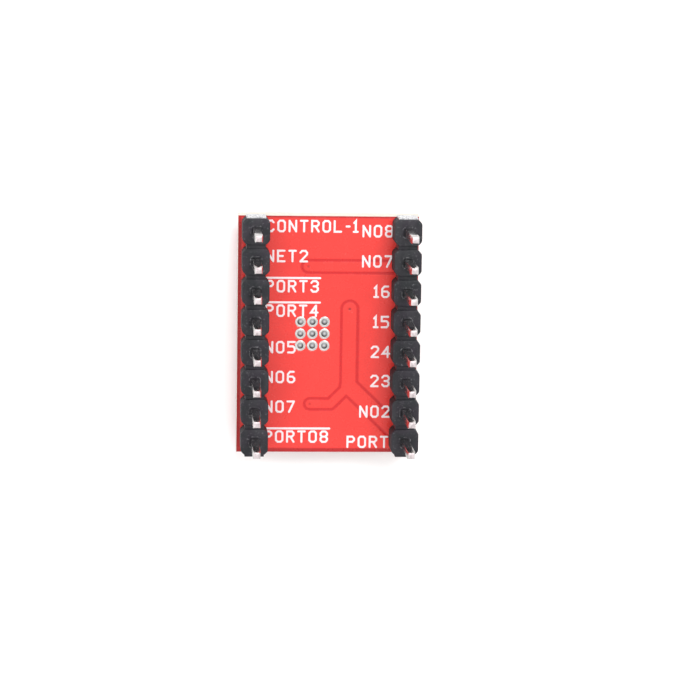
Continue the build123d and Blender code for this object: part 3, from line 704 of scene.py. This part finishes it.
def track_distance(x, y):
    """Distance from each place to the nearest track edge, negative inside.

    For each track, the nearest point of its middle line is found by projecting the place on it and holding
    it between the ends; the track's half width is taken off, and the smallest value over all tracks stays."""
    best = np.full(x.shape, np.inf)
    for start, end, width in TRACKS:
        ax, ay = start
        dx, dy = end[0] - ax, end[1] - ay
        share = np.clip(((x - ax) * dx + (y - ay) * dy) / (dx * dx + dy * dy), 0, 1)
        gap = np.hypot(x - ax - share * dx, y - ay - share * dy) - width / 2
        best = np.minimum(best, gap)
    return best


def lacquer_shell(settings):
    """Lacquer sheet whose upper face is a height over each place of a square grid.

    The height is the full surface less a sunk share: one inside a groove, found from the distance to the
    tracks, and one in the bare strip along the edges. Small vias add a bell-shaped ring and dimple, and the
    sheet drops to the foil inside each heat via's pad. The flat lower face is a fan over the rim.

    The copper mark is one minus the sunk share to the power 0.35. The painted_shade mark is painted shade:
    the dimples' bell, and nearly half in the bare strip."""
    low, high = LACQUER_LOW, LACQUER_HIGH
    columns = int((high[0] - low[0]) / settings.step) + 1
    rows = int((high[1] - low[1]) / settings.step) + 1
    x, y = np.meshgrid(np.linspace(low[0], high[0], columns), np.linspace(low[1], high[1], rows))
    shoulder = 0.08 * MM
    dimple_r, dimple_depth = 0.11 * MM, 0.04 * MM
    ring_r, ring_width, ring_height = 0.25 * MM, 0.06 * MM, 0.010 * MM
    gap = track_distance(x, y)
    groove = smooth(0, shoulder, gap) * smooth(0, shoulder, settings.groove - gap)
    half = (BOARD_HIGH - BOARD_LOW)[:2] / 2
    inside = np.minimum(half[0] - np.abs(x), half[1] - np.abs(y))
    rim = 1 - smooth(settings.edge - shoulder, settings.edge + shoulder, inside)
    sunk = np.maximum(groove, rim)
    z = SURFACE - settings.sink * sunk
    # rim_shade: share of painted shade laid along the bare edge strip
    rim_shade = 0.45
    painted_shade = rim_shade * rim
    for (px, py), hollow in zip(SMALL_VIAS, VIA_HOLLOWS):
        r = np.hypot(x - px, y - py)
        bell = hollow * np.exp(-((r / dimple_r) ** 2))
        z += ring_height * np.exp(-(((r - ring_r) / ring_width) ** 2)) - dimple_depth * bell
        # painted shade in each dimple, following its bell
        painted_shade = np.maximum(painted_shade, bell)
    for px, py in HEAT_VIAS:
        r = np.hypot(x - px, y - py)
        well = smooth(VIA_PAD_R + 0.03 * MM, VIA_PAD_R - 0.03 * MM, r)
        z = z * (1 - well) + (LACQUER_LOW[2] + 0.004 * MM) * well
    z = np.minimum(z, SURFACE + 0.01 * MM)
    upper = np.stack([x, y, z], axis=-1)
    index = np.arange(rows * columns).reshape(rows, columns)
    loop = np.concatenate([index[0, :-1], index[:-1, -1], index[-1, :0:-1], index[:0:-1, 0]])
    points = upper.reshape(-1, 3)
    skirt = points[loop].copy()
    skirt[:, 2] = low[2]
    count = len(points)
    foot = count + np.arange(len(loop))
    walls = np.stack([np.roll(loop, -1), loop, foot, np.roll(foot, -1)], axis=1)
    middle = np.full(len(loop), count + len(loop))
    fan = np.stack([middle, np.roll(foot, -1), foot], axis=1)
    points = np.vstack([points, skirt, [[0.0, 0.0, low[2]]]])
    quads = np.vstack([grid_faces(rows, columns, False, False), walls])
    below = np.zeros(len(loop) + 1)
    copper = 1 - sunk**0.35
    marks = {name: np.append(values, below) for name, values in (("copper", copper), ("painted_shade", painted_shade))}
    return outward(points, quads, fan), marks


def stroke_shell(path, settings, unevenness):
    """Ribbon of ink along a path of straight runs.

    The cross-section is a low dome: flat underneath, upright at the sides and slightly higher in the middle.
    It is carried along the path, mitred at the corners, and its half width shrinks as the cosine of an angle
    that grows over the last half width at each end, which rounds the ends."""
    path = np.asarray(path, float)
    half = settings.stroke / 2
    run = np.diff(path, axis=0)
    run /= np.linalg.norm(run, axis=1, keepdims=True)
    side = np.stack([-run[:, 1], run[:, 0]], axis=1)
    before = np.vstack([side[:1], side])
    after = np.vstack([side, side[-1:]])
    across = (before + after) / (1 + (before * after).sum(1, keepdims=True))
    turn = np.radians([78, 50, 25])
    reach = half * np.sin(turn)[:, None]
    start = path[0] - reach * run[0]
    finish = path[-1] + reach[::-1] * run[-1]
    spine = np.vstack([start, path, finish])
    across = np.vstack([np.repeat(across[:1], 3, 0), across, np.repeat(across[-1:], 3, 0)])
    width = np.concatenate([np.cos(turn), np.ones(len(path)), np.cos(turn[::-1])]) * half
    width *= 1 + 0.05 * np.sin(unevenness + 2.1 * np.arange(len(width)))
    section_a = np.array([1, 0.97, 0.8, 0, -0.8, -0.97, -1, 0])
    section_h = np.array([-0.3, 0.7, 0.95, 1, 0.95, 0.7, -0.3, -0.3])
    flat = spine[:, None] + across[:, None] * (width[:, None] * section_a)[..., None]
    height = np.broadcast_to(SURFACE + settings.ink * section_h, flat.shape[:2])
    return tube(np.concatenate([flat, height[..., None]], axis=-1))


def legend_shells(settings):
    """Ink strokes of all labels and of the bars over some of them."""
    cell = np.array([settings.letter_width - settings.stroke, settings.cap_height - settings.stroke])
    cell /= np.array([GRID_W, GRID_H])
    inset = settings.stroke / 2
    shells = []
    for text, left, foot, bar in LABELS:
        x = left * MM
        for letter in text:
            thin = letter in THIN_LETTERS
            for stroke in LETTERS[letter]:
                path = np.array(stroke) * cell + (x + inset, foot * MM + inset)
                shells.append(stroke_shell(path, settings, len(shells)))
            end = x + settings.letter_width
            x += settings.thin_advance if thin else settings.advance
        if bar:
            level = foot * MM + settings.cap_height + 0.17 * MM
            shells.append(stroke_shell([(left * MM, level), (end + 0.1 * MM, level)], settings, 0.0))
    return shells


def via_shell(place, settings, fill, slant):
    """Filled heat via: a profile of radius and height turned about the via's axis.

    From the pad's rim the tin rises in a quarter wave to a flat ring, falls in a half wave to the moat, and
    rises again as half a cosine to the solder's dome, whose height takes the given share. The
    painted_moat_shade mark is painted shade in the moat, weaker on the side that the slant points to, which
    leaves a painted highlight there."""
    ring_r = 0.93 * VIA_PAD_R
    wall_r = 0.80 * VIA_PAD_R
    moat_r = 0.71 * VIA_PAD_R
    crest = SURFACE + settings.rim
    foot = LACQUER_LOW[2] + 0.002 * MM
    floor = crest - settings.moat
    outer = np.linspace(0, np.pi / 2, 4)
    inner = np.linspace(0, np.pi, 6)
    dome = np.linspace(0, np.pi / 2, 9)[1:-1]
    radius = np.concatenate([VIA_PAD_R - (VIA_PAD_R - ring_r) * (1 - np.cos(outer)),
                             wall_r - (wall_r - moat_r) * (1 - np.cos(inner)) / 2,
                             moat_r * np.cos(dome)])
    height = np.concatenate([foot + (crest - foot) * np.sin(outer),
                             crest - (crest - floor) * (1 - np.cos(inner)) / 2,
                             floor + settings.dome * fill * np.sin(dome)])
    angle = around(32)
    rings = turned(place, angle, radius[:, None], height[:, None])
    # painted shade in the moat, lighter towards the slant as a painted highlight
    painted_moat_shade = smooth(wall_r, moat_r, radius) * smooth(-0.1 * VIA_PAD_R, 0.5 * VIA_PAD_R, radius)
    painted_moat_shade = painted_moat_shade[:, None] * (0.8 - 0.2 * np.cos(angle - slant))
    marks = np.concatenate([painted_moat_shade.ravel(), [0.0, 0.0]])
    return tube(rings), marks


def block_shell(place, low, high, settings):
    """One eight-sided header block with its pin hole.

    Rings share one number of points and go once round the block's wall: up the outside on the rounded
    eight-sided outline, over the quarter-round top edge, across the top to the circle of the recess, down to
    its floor, and down the square hole. The hole's half width over the larger of cosine and sine gives the
    square. The wall mark fades over the top edge; the recess_glint mark, a painted highlight, lies on the
    recess's edge."""
    half_w = (high[0] - low[0]) / 2
    half_l = (PITCH - settings.neck_length) / 2
    cut_x = half_w - settings.chamfer_x
    cut_y = half_l - settings.chamfer_y
    eight = [(half_w, cut_y), (cut_x, half_l), (-cut_x, half_l), (-half_w, cut_y)]
    eight += [(-half_w, -cut_y), (-cut_x, -half_l), (cut_x, -half_l), (half_w, -cut_y)]
    base, top = low[2], high[2]
    edge = settings.edge_r
    outline = rounded_outline(eight, settings.corner_r)
    bearing = np.arctan2(outline[:, 1], outline[:, 0])
    circle = np.column_stack([np.cos(bearing), np.sin(bearing)])
    square = circle / np.maximum(np.abs(circle[:, :1]), np.abs(circle[:, 1:]))
    rings = [at_height(outline, z) for z in np.linspace(base, top - edge, 4)]
    for bend in np.radians([22, 45, 68, 90]):
        moved = rounded_outline(eight, settings.corner_r, inset=edge * (1 - np.cos(bend)))
        rings.append(at_height(moved, top - edge * (1 - np.sin(bend))))
    floor = top - settings.recess_depth
    recess = [(0.06, top), (0.02, top - 0.012 * MM), (0.0, top - 0.035 * MM)]
    recess += [(-0.03, floor + 0.01 * MM), (-0.06, floor)]
    rings += [at_height(circle * (settings.recess_r + wider * MM), z) for wider, z in recess]
    hole = PIN_HALF + 0.004 * MM
    steps = [(0.015, floor), (0.0, floor - 0.05 * MM), (0.0, base)]
    rings += [at_height(square * (hole + wider * MM), z) for wider, z in steps]
    wall = np.zeros((len(rings), len(outline)))
    wall[:4] = 1.0
    wall[4:7] = np.array([0.8, 0.5, 0.2])[:, None]
    # painted highlight mark on the recess's edge rings
    recess_glint = np.zeros(wall.shape)
    recess_glint[9:12] = np.array([0.6, 1.0, 0.7])[:, None]
    rings = np.array(rings)
    rings[..., :2] += place
    return tube(rings, closed=True), (wall.ravel(), np.zeros(wall.size), recess_glint.ravel())


def neck_shell(x, y0, y1, low, high, settings, torn_from):
    """Low neck between blocks: a rounded rectangle across the strip, carried from y0 to y1.

    A broken neck is torn from the given ring outwards, and its outer end is pulled back by a sum of sines
    over the section, which leaves it uneven. A neck takes the wall mark in part."""
    broken = torn_from is not None
    half_w = (high[0] - low[0]) / 2 - settings.neck_inset
    top = high[2] - settings.neck_drop * (0.35 if broken else 1.0)
    half_h = (top - low[2]) / 2
    outline = rounded_outline(box_corners(half_w, half_h), 0.05 * MM)
    middle_z = low[2] + half_h
    shrink = np.array([1.0, 1.0, 1.0, 0.72, 0.4, 0.12]) if broken else np.array([1.0, 1.0])
    travel = np.array([0.0, 0.6, 1.0, 1.0, 1.0, 1.0]) if broken else np.array([0.0, 1.0])
    across = outline[None, :, 0] * shrink[:, None]
    up = outline[None, :, 1] * shrink[:, None]
    along = y0 + (y1 - y0) * np.broadcast_to(travel[:, None], across.shape)
    if broken:
        wave = np.sin(across / MM * 7.1 + 1.3) + np.sin(up / MM * 5.3 + across / MM * 3.7)
        pull = 0.014 * MM * (2 + wave) * (travel[:, None] > 0.9)
        along = along - np.sign(y1 - y0) * pull
    rings = np.stack([x + across, along, middle_z + up], axis=-1)
    shell = tube(rings)
    torn = np.zeros(len(shell[0]))
    if broken:
        torn[torn_from * len(outline) : -2] = 1.0
        torn[-1] = 1.0
    neck_wall = 0.6
    return shell, (np.full(len(torn), neck_wall), torn, np.zeros(len(torn)))


def strip_shells(places, low, high, settings):
    """All blocks and necks of one header strip, with the marks of walls, torn ends and the painted highlight
    on the recess edges.
    """
    lap = 0.06 * MM
    reach = (PITCH - settings.neck_length) / 2
    x = (low[0] + high[0]) / 2
    spans = [(b[1] + reach - lap, a[1] - reach + lap, None) for a, b in zip(places, places[1:])]
    spans.append((places[0][1] + reach - lap, high[1], 1))
    spans.append((places[-1][1] - reach + lap, low[1], 3))
    made = [block_shell(place, low, high, settings) for place in places]
    made += [neck_shell(x, y0, y1, low, high, settings, torn_from) for y0, y1, torn_from in spans]
    shells, marks = zip(*made)
    names = ("wall", "snapped", "recess_glint")
    return shells, {name: np.concatenate(values) for name, values in zip(names, zip(*marks))}


def pin_shell(low, high, settings, lean):
    """Square post: a rounded square whose half width changes with height, leaning a little at its long end.

    The half width grows over both tapers and stays even between them; the lean is the given shift times the
    square of the height's share."""
    middle = (low + high)[:2] / 2
    half = PIN_HALF
    tip = settings.tip_half
    rise = settings.tip_height
    burr = 0.02 * MM
    top = high[2]
    taper = [0.0, 0.3 * burr, 2 * burr, rise * 0.96, rise * 1.1]
    levels = taper + [top * 0.35, top * 0.6, top * 0.8] + [top - z for z in reversed(taper)]
    narrow = [tip - burr, tip - 0.3 * burr, tip, half * 0.99, half]
    widths = narrow + [half] * 3 + narrow[::-1]
    rings = []
    for z, width in zip(levels, widths):
        radius = min(settings.corner_r, width * 0.5)
        shift = np.asarray(lean) * (z / top) ** 2
        outline = rounded_outline(box_corners(width, width), radius) + middle + shift
        rings.append(at_height(outline, z))
    end = np.zeros((len(rings), len(rings[0])))
    end[:2] = 1.0
    end[-2:] = 1.0
    return tube(np.array(rings)), np.concatenate([end.ravel(), [1.0, 1.0]])


def cone_shell(place, climb, settings):
    """Solder joint round a pin: a circle at the pad that becomes the pin's square as it climbs.

    At share s of the climb the radius is the square's own plus the rest of the circle's radius times
    (1 - s) to the power 2.3, so the outline is hollow and ends flush with the pin."""
    angle = around(32)
    square = (PIN_HALF + 0.006 * MM) / np.maximum(np.abs(np.cos(angle)), np.abs(np.sin(angle)))
    square = np.minimum(square, PIN_HALF * 1.33)
    share = np.linspace(0, 1, 12)[:, None]
    radius = square + (settings.cone_r - square) * (1 - share) ** 2.3
    rings = turned(place, angle, radius, UNDER_FOIL_LOW[2] - climb * share)
    root = rings[:1].copy()
    root[..., 2] += 0.01 * MM
    return tube(np.concatenate([root, rings]))


# Operators: one for each piece or group of like pieces


class MODULE_OT_lacquer(bpy.types.Operator):
    """Make the red lacquer of the pin side and coat that of the component side"""

    bl_idname = "module.lacquer"
    bl_label = "Red lacquer"

    def execute(self, context):
        settings = context.scene.module_lacquer
        shell, marks = lacquer_shell(settings)
        material = lacquer_finish("red lacquer", settings)
        piece = build("red_lacquer_pin_side", [shell], material, marks=marks)
        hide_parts("pin_side_mask")
        below = lacquer_finish("red lacquer underneath", settings, UNDER_LACQUER_LOW[2])
        coat(["component_side_mask"], below)
        return {"FINISHED"}


class MODULE_OT_legend(bpy.types.Operator):
    """Print the plain labels beside the pins"""

    bl_idname = "module.legend"
    bl_label = "Legend print"

    def execute(self, context):
        settings = context.scene.module_legend
        piece = build("legend_print", legend_shells(settings), ink_finish(settings), sharp=60.0)
        return {"FINISHED"}


class MODULE_OT_board(bpy.types.Operator):
    """Coat the laminate, the copper and the hole sleeves"""

    bl_idname = "module.board"
    bl_label = "Board"

    def execute(self, context):
        coat(["board_core"], laminate_finish())
        foil = grained_finish("copper foil", (0.80, 0.42, 0.26), 0.3, metallic=1.0)
        coat(["pin_side_copper", "component_side_copper"], foil)
        plating = grained_finish("hole plating", (0.80, 0.78, 0.74), 0.3, metallic=1.0, contrast=0.15)
        sleeves = ["left_hole_sleeves", "right_hole_sleeves", "heat_via_sleeves", "signal_via_sleeves"]
        coat(sleeves, plating)
        return {"FINISHED"}


class MODULE_OT_heat_vias(bpy.types.Operator):
    """Make the solder of the nine heat vias under the chip"""

    bl_idname = "module.heat_vias"
    bl_label = "Heat vias"

    def execute(self, context):
        settings = context.scene.module_solder
        random = np.random.default_rng(VIA_SEED)
        fills = random.uniform(0.6, 1.0, len(HEAT_VIAS))
        # slants: bearing of each via's painted highlight, where its painted moat shade is weakest
        slants = random.uniform(0.2, 2.4, len(HEAT_VIAS))
        plans = zip(HEAT_VIAS, fills, slants)
        shells, marks = zip(*(via_shell(place, settings, fill, slant) for place, fill, slant in plans))
        material = solder_finish("via solder", settings, middle="painted_moat_shade")
        marks = {"painted_moat_shade": np.concatenate(marks)}
        piece = build("heat_via_tinning", shells, material, marks=marks, sharp=60.0)
        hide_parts("heat_via_solder")
        return {"FINISHED"}


class MODULE_OT_headers(bpy.types.Operator):
    """Make both moulded header strips"""

    bl_idname = "module.headers"
    bl_label = "Header strips"

    def execute(self, context):
        settings = context.scene.module_header
        material = plastic_finish(settings)
        for side, places in (("left", PIN_PLACES[:ROW_PINS]), ("right", PIN_PLACES[ROW_PINS:])):
            node = f"{side}_header_plastic"
            low, high = corners(node)
            shells, marks = strip_shells(places, low, high, settings)
            piece = build(f"{side}_header_strip", shells, material, marks=marks, sharp=50.0)
            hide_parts(node)
        return {"FINISHED"}


class MODULE_OT_pins(bpy.types.Operator):
    """Make the sixteen header pins"""

    bl_idname = "module.pins"
    bl_label = "Header pins"

    def execute(self, context):
        settings = context.scene.module_pin
        material = pin_finish(settings)
        leans = np.random.default_rng(LEAN_SEED).uniform(-1, 1, (len(PIN_NODES), 2)) * settings.lean
        for node, (low, high), lean in zip(PIN_NODES, PIN_BOXES, leans):
            shell, end = pin_shell(low, high, settings, lean)
            piece = build(node.replace("header_pin", "pin_post"), [shell], material, marks={"end_face": end})
            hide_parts(node)
        return {"FINISHED"}


class MODULE_OT_pin_solder(bpy.types.Operator):
    """Make the solder joints of the pins on the component side"""

    bl_idname = "module.pin_solder"
    bl_label = "Pin solder"

    def execute(self, context):
        settings = context.scene.module_solder
        material = solder_finish("joint solder", settings)
        climbs = settings.cone_height * np.random.default_rng(CLIMB_SEED).uniform(0.85, 1.05, len(PIN_PLACES))
        for side, first in (("left", 0), ("right", ROW_PINS)):
            spots = list(zip(PIN_PLACES, climbs))[first : first + ROW_PINS]
            shells = [cone_shell(place, climb, settings) for place, climb in spots]
            piece = build(f"{side}_solder_cones", shells, material, sharp=60.0)
            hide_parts(f"{side}_pin_solder")
        return {"FINISHED"}


class MODULE_OT_chip(bpy.types.Operator):
    """Finish the driver chip and what it holds"""

    bl_idname = "module.chip"
    bl_label = "Driver chip"

    def execute(self, context):
        moulding = grained_finish("chip moulding", (0.022, 0.022, 0.024), 0.55, lumps=16.0, depth=0.006)
        coat(["chip_moulding"], moulding)
        frame_tin = grained_finish("lead frame tin", (0.78, 0.76, 0.72), 0.35, metallic=1.0, contrast=0.15)
        coat(["chip_terminals", "chip_heat_pad"], frame_tin)
        coat(["chip_die"], grained_finish("silicon", (0.20, 0.21, 0.25), 0.12, contrast=0.1))
        coat(["chip_die_attach"], grained_finish("die bond", (0.55, 0.55, 0.53), 0.5))
        gold = grained_finish("gold wire", (0.90, 0.68, 0.30), 0.2, metallic=1.0, contrast=0.1)
        coat(["chip_bond_wires"], gold)
        joints = ["chip_terminal_solder", "chip_heat_solder"]
        coat(joints, solder_finish("chip solder", context.scene.module_solder))
        return {"FINISHED"}


class MODULE_OT_small_parts(bpy.types.Operator):
    """Round and finish the resistors and capacitors of the component side"""

    bl_idname = "module.small_parts"
    bl_label = "Resistors and capacitors"

    def execute(self, context):
        tin = grained_finish("cap tin", (0.78, 0.78, 0.77), 0.38, metallic=1.0, contrast=0.18, depth=0.008)
        tan = grained_finish("capacitor ceramic", (0.52, 0.37, 0.23), 0.5, lumps=12.0)
        alumina = grained_finish("alumina", (0.86, 0.86, 0.82), 0.55, lumps=12.0, contrast=0.08)
        glaze = grained_finish("black glaze", (0.018, 0.018, 0.02), 0.25, lumps=5.0, depth=0.006)
        pieces = [
            ("sense_resistor_caps", tin, "cap_tin", 0.03),
            ("supply_capacitor_caps", tin, "cap_tin", 0.05),
            ("small_capacitor_caps", tin, "cap_tin", 0.04),
            ("small_resistor_caps", tin, "cap_tin", 0.03),
            ("supply_capacitor_bodies", tan, "capacitor_ceramic", 0.05),
            ("small_capacitor_bodies", tan, "capacitor_ceramic", 0.04),
            ("sense_resistor_glaze", glaze, "black_glaze", 0.015),
            ("small_resistor_glaze", glaze, "black_glaze", 0.015),
        ]
        for node, material, slot, width in pieces:
            softened(node, f"{node}_rounded", width * MM, material)
        coat(["sense_resistor_bodies", "small_resistor_bodies"], alumina)
        coat(["component_solder"], solder_finish("part solder", context.scene.module_solder))
        return {"FINISHED"}


class MODULE_OT_trimmer(bpy.types.Operator):
    """Round and finish the trimmer and its turning dial"""

    bl_idname = "module.trimmer"
    bl_label = "Trimmer"

    def execute(self, context):
        low, high = corners("trimmer_dial")
        middle = (low + high) / 2
        shell = grained_finish("trimmer plastic", (0.82, 0.82, 0.78), 0.5, lumps=9.0, contrast=0.1)
        metal = turned_finish("dial metal", (0.78, 0.77, 0.73), middle)
        tin = grained_finish("clip tin", (0.78, 0.78, 0.77), 0.36, metallic=1.0, contrast=0.18)
        softened("trimmer_housing", "trimmer_housing_rounded", 0.05 * MM, shell)
        softened("trimmer_terminals", "trimmer_clips_rounded", 0.025 * MM, tin)
        softened("trimmer_dial", "trimmer_dial_rounded", 0.03 * MM, metal, body=DIAL)
        coat(["trimmer_collar", "trimmer_wiper"], metal)
        ceramic = grained_finish("trimmer ceramic", (0.84, 0.84, 0.80), 0.55, lumps=12.0, contrast=0.08)
        coat(["trimmer_base"], ceramic)
        coat(["trimmer_element"], grained_finish("resistive film", (0.03, 0.03, 0.03), 0.45, lumps=14.0))
        coat(["trimmer_solder"], solder_finish("trimmer solder", context.scene.module_solder))
        return {"FINISHED"}


class MODULE_OT_stage(bpy.types.Operator):
    """Set up the floor, the light and the camera"""

    bl_idname = "module.stage"
    bl_label = "Floor, light and camera"

    def execute(self, context):
        settings = context.scene.module_stage
        make_floor(settings)
        make_light(context.scene, settings)
        make_camera(context.scene, settings)
        return {"FINISHED"}


def make_floor(settings):
    """Round floor: rings of points at growing radii, level with the pin tails' ends, and a skirt below."""
    radius = np.array([[0.02], [0.08], [0.3], [0.7], [0.7]])
    height = np.array([[0.0], [0.0], [0.0], [0.0], [-0.01]])
    finish = Finish("pale floor", tuple(settings.floor), 0.75, specular=0.1)
    grain = finish.noise(0.05, detail=3.0)
    finish.set("Roughness", finish.remap(grain, 0.3, 0.7, 0.68, 0.82))
    floor = build("floor", [tube(turned((0.0, 0.0), around(64), radius, height))], finish.material)
    floor.parent = None


def make_light(scene, settings):
    """Soft overhead light: a sky that brightens from the horizon upwards and two large soft panels."""
    world = bpy.data.worlds.new("studio sky")
    world.use_nodes = True
    tree = world.node_tree
    sky = tree.nodes["Background"]
    sky.inputs["Color"].default_value = (1.0, 1.0, 1.0, 1.0)
    direction = add_node(tree, "ShaderNodeTexCoord").outputs["Generated"]
    height = add_node(tree, "ShaderNodeSeparateXYZ", inputs={"Vector": direction}).outputs["Z"]
    levels = {"Value": height, "From Min": -0.1, "From Max": 0.9}
    levels |= {"To Min": settings.horizon, "To Max": settings.sky}
    ramp = add_node(tree, "ShaderNodeMapRange", {"interpolation_type": "SMOOTHSTEP"}, levels)
    feed(tree, sky.inputs["Strength"], ramp.outputs["Result"])
    scene.world = world
    scene.view_settings.view_transform = "Standard"
    for name, place, size, power in (
        ("key", (0.12, 0.27, 0.38), 0.26, settings.key),
        ("fill", (-0.26, 0.06, 0.30), 0.28, settings.key * 0.3),
    ):
        light = bpy.data.lights.new(name, "AREA")
        light.shape = "SQUARE"
        light.size = size
        light.energy = power
        lamp = bpy.data.objects.new(name, light)
        lamp.location = place
        away = lamp.location.normalized()
        lamp.rotation_euler = away.to_track_quat("Z", "Y").to_euler()
        scene.collection.objects.link(lamp)


def make_camera(scene, settings):
    """Long lens looking down on the pins, a little from the upper left."""
    view = bpy.data.cameras.new("camera")
    view.lens = settings.lens
    view.sensor_width = 36.0
    view.clip_start = 0.01
    view.clip_end = 3.0
    camera = bpy.data.objects.new("camera", view)
    camera.location = settings.place
    camera.rotation_euler = settings.turn
    scene.collection.objects.link(camera)
    scene.camera = camera


STEPS = (
    MODULE_OT_lacquer,
    MODULE_OT_legend,
    MODULE_OT_board,
    MODULE_OT_heat_vias,
    MODULE_OT_headers,
    MODULE_OT_pins,
    MODULE_OT_pin_solder,
    MODULE_OT_chip,
    MODULE_OT_small_parts,
    MODULE_OT_trimmer,
    MODULE_OT_stage,
)
SETTINGS = {
    "module_lacquer": LacquerSettings,
    "module_legend": LegendSettings,
    "module_header": HeaderSettings,
    "module_pin": PinSettings,
    "module_solder": SolderSettings,
    "module_stage": StageSettings,
}


class MODULE_PT_sidebar(bpy.types.Panel):
    """Sidebar list of the module's settings and steps"""

    bl_idname = "MODULE_PT_sidebar"
    bl_label = "Stepper driver module"
    bl_space_type = "VIEW_3D"
    bl_region_type = "UI"
    bl_category = "Driver module"

    def draw(self, context):
        for step in STEPS:
            self.layout.operator(step.bl_idname)
        for name, group in SETTINGS.items():
            box = self.layout.box()
            box.label(text=group.__doc__)
            for key in group.__annotations__:
                box.prop(getattr(context.scene, name), key)


def register():
    """Register the settings, the operators and the panel."""
    for name, group in SETTINGS.items():
        bpy.utils.register_class(group)
        setattr(bpy.types.Scene, name, PointerProperty(type=group))
    for item in (*STEPS, MODULE_PT_sidebar):
        bpy.utils.register_class(item)


def unregister():
    """Remove the panel, the operators and the settings."""
    for item in (MODULE_PT_sidebar, *reversed(STEPS)):
        bpy.utils.unregister_class(item)
    for name, group in SETTINGS.items():
        delattr(bpy.types.Scene, name)
        bpy.utils.unregister_class(group)


def main():
    """Register, and make every piece in order."""
    register()
    for step in STEPS:
        group, action = step.bl_idname.split(".")
        getattr(getattr(bpy.ops, group), action)()


if __name__ == "__main__":
    main()
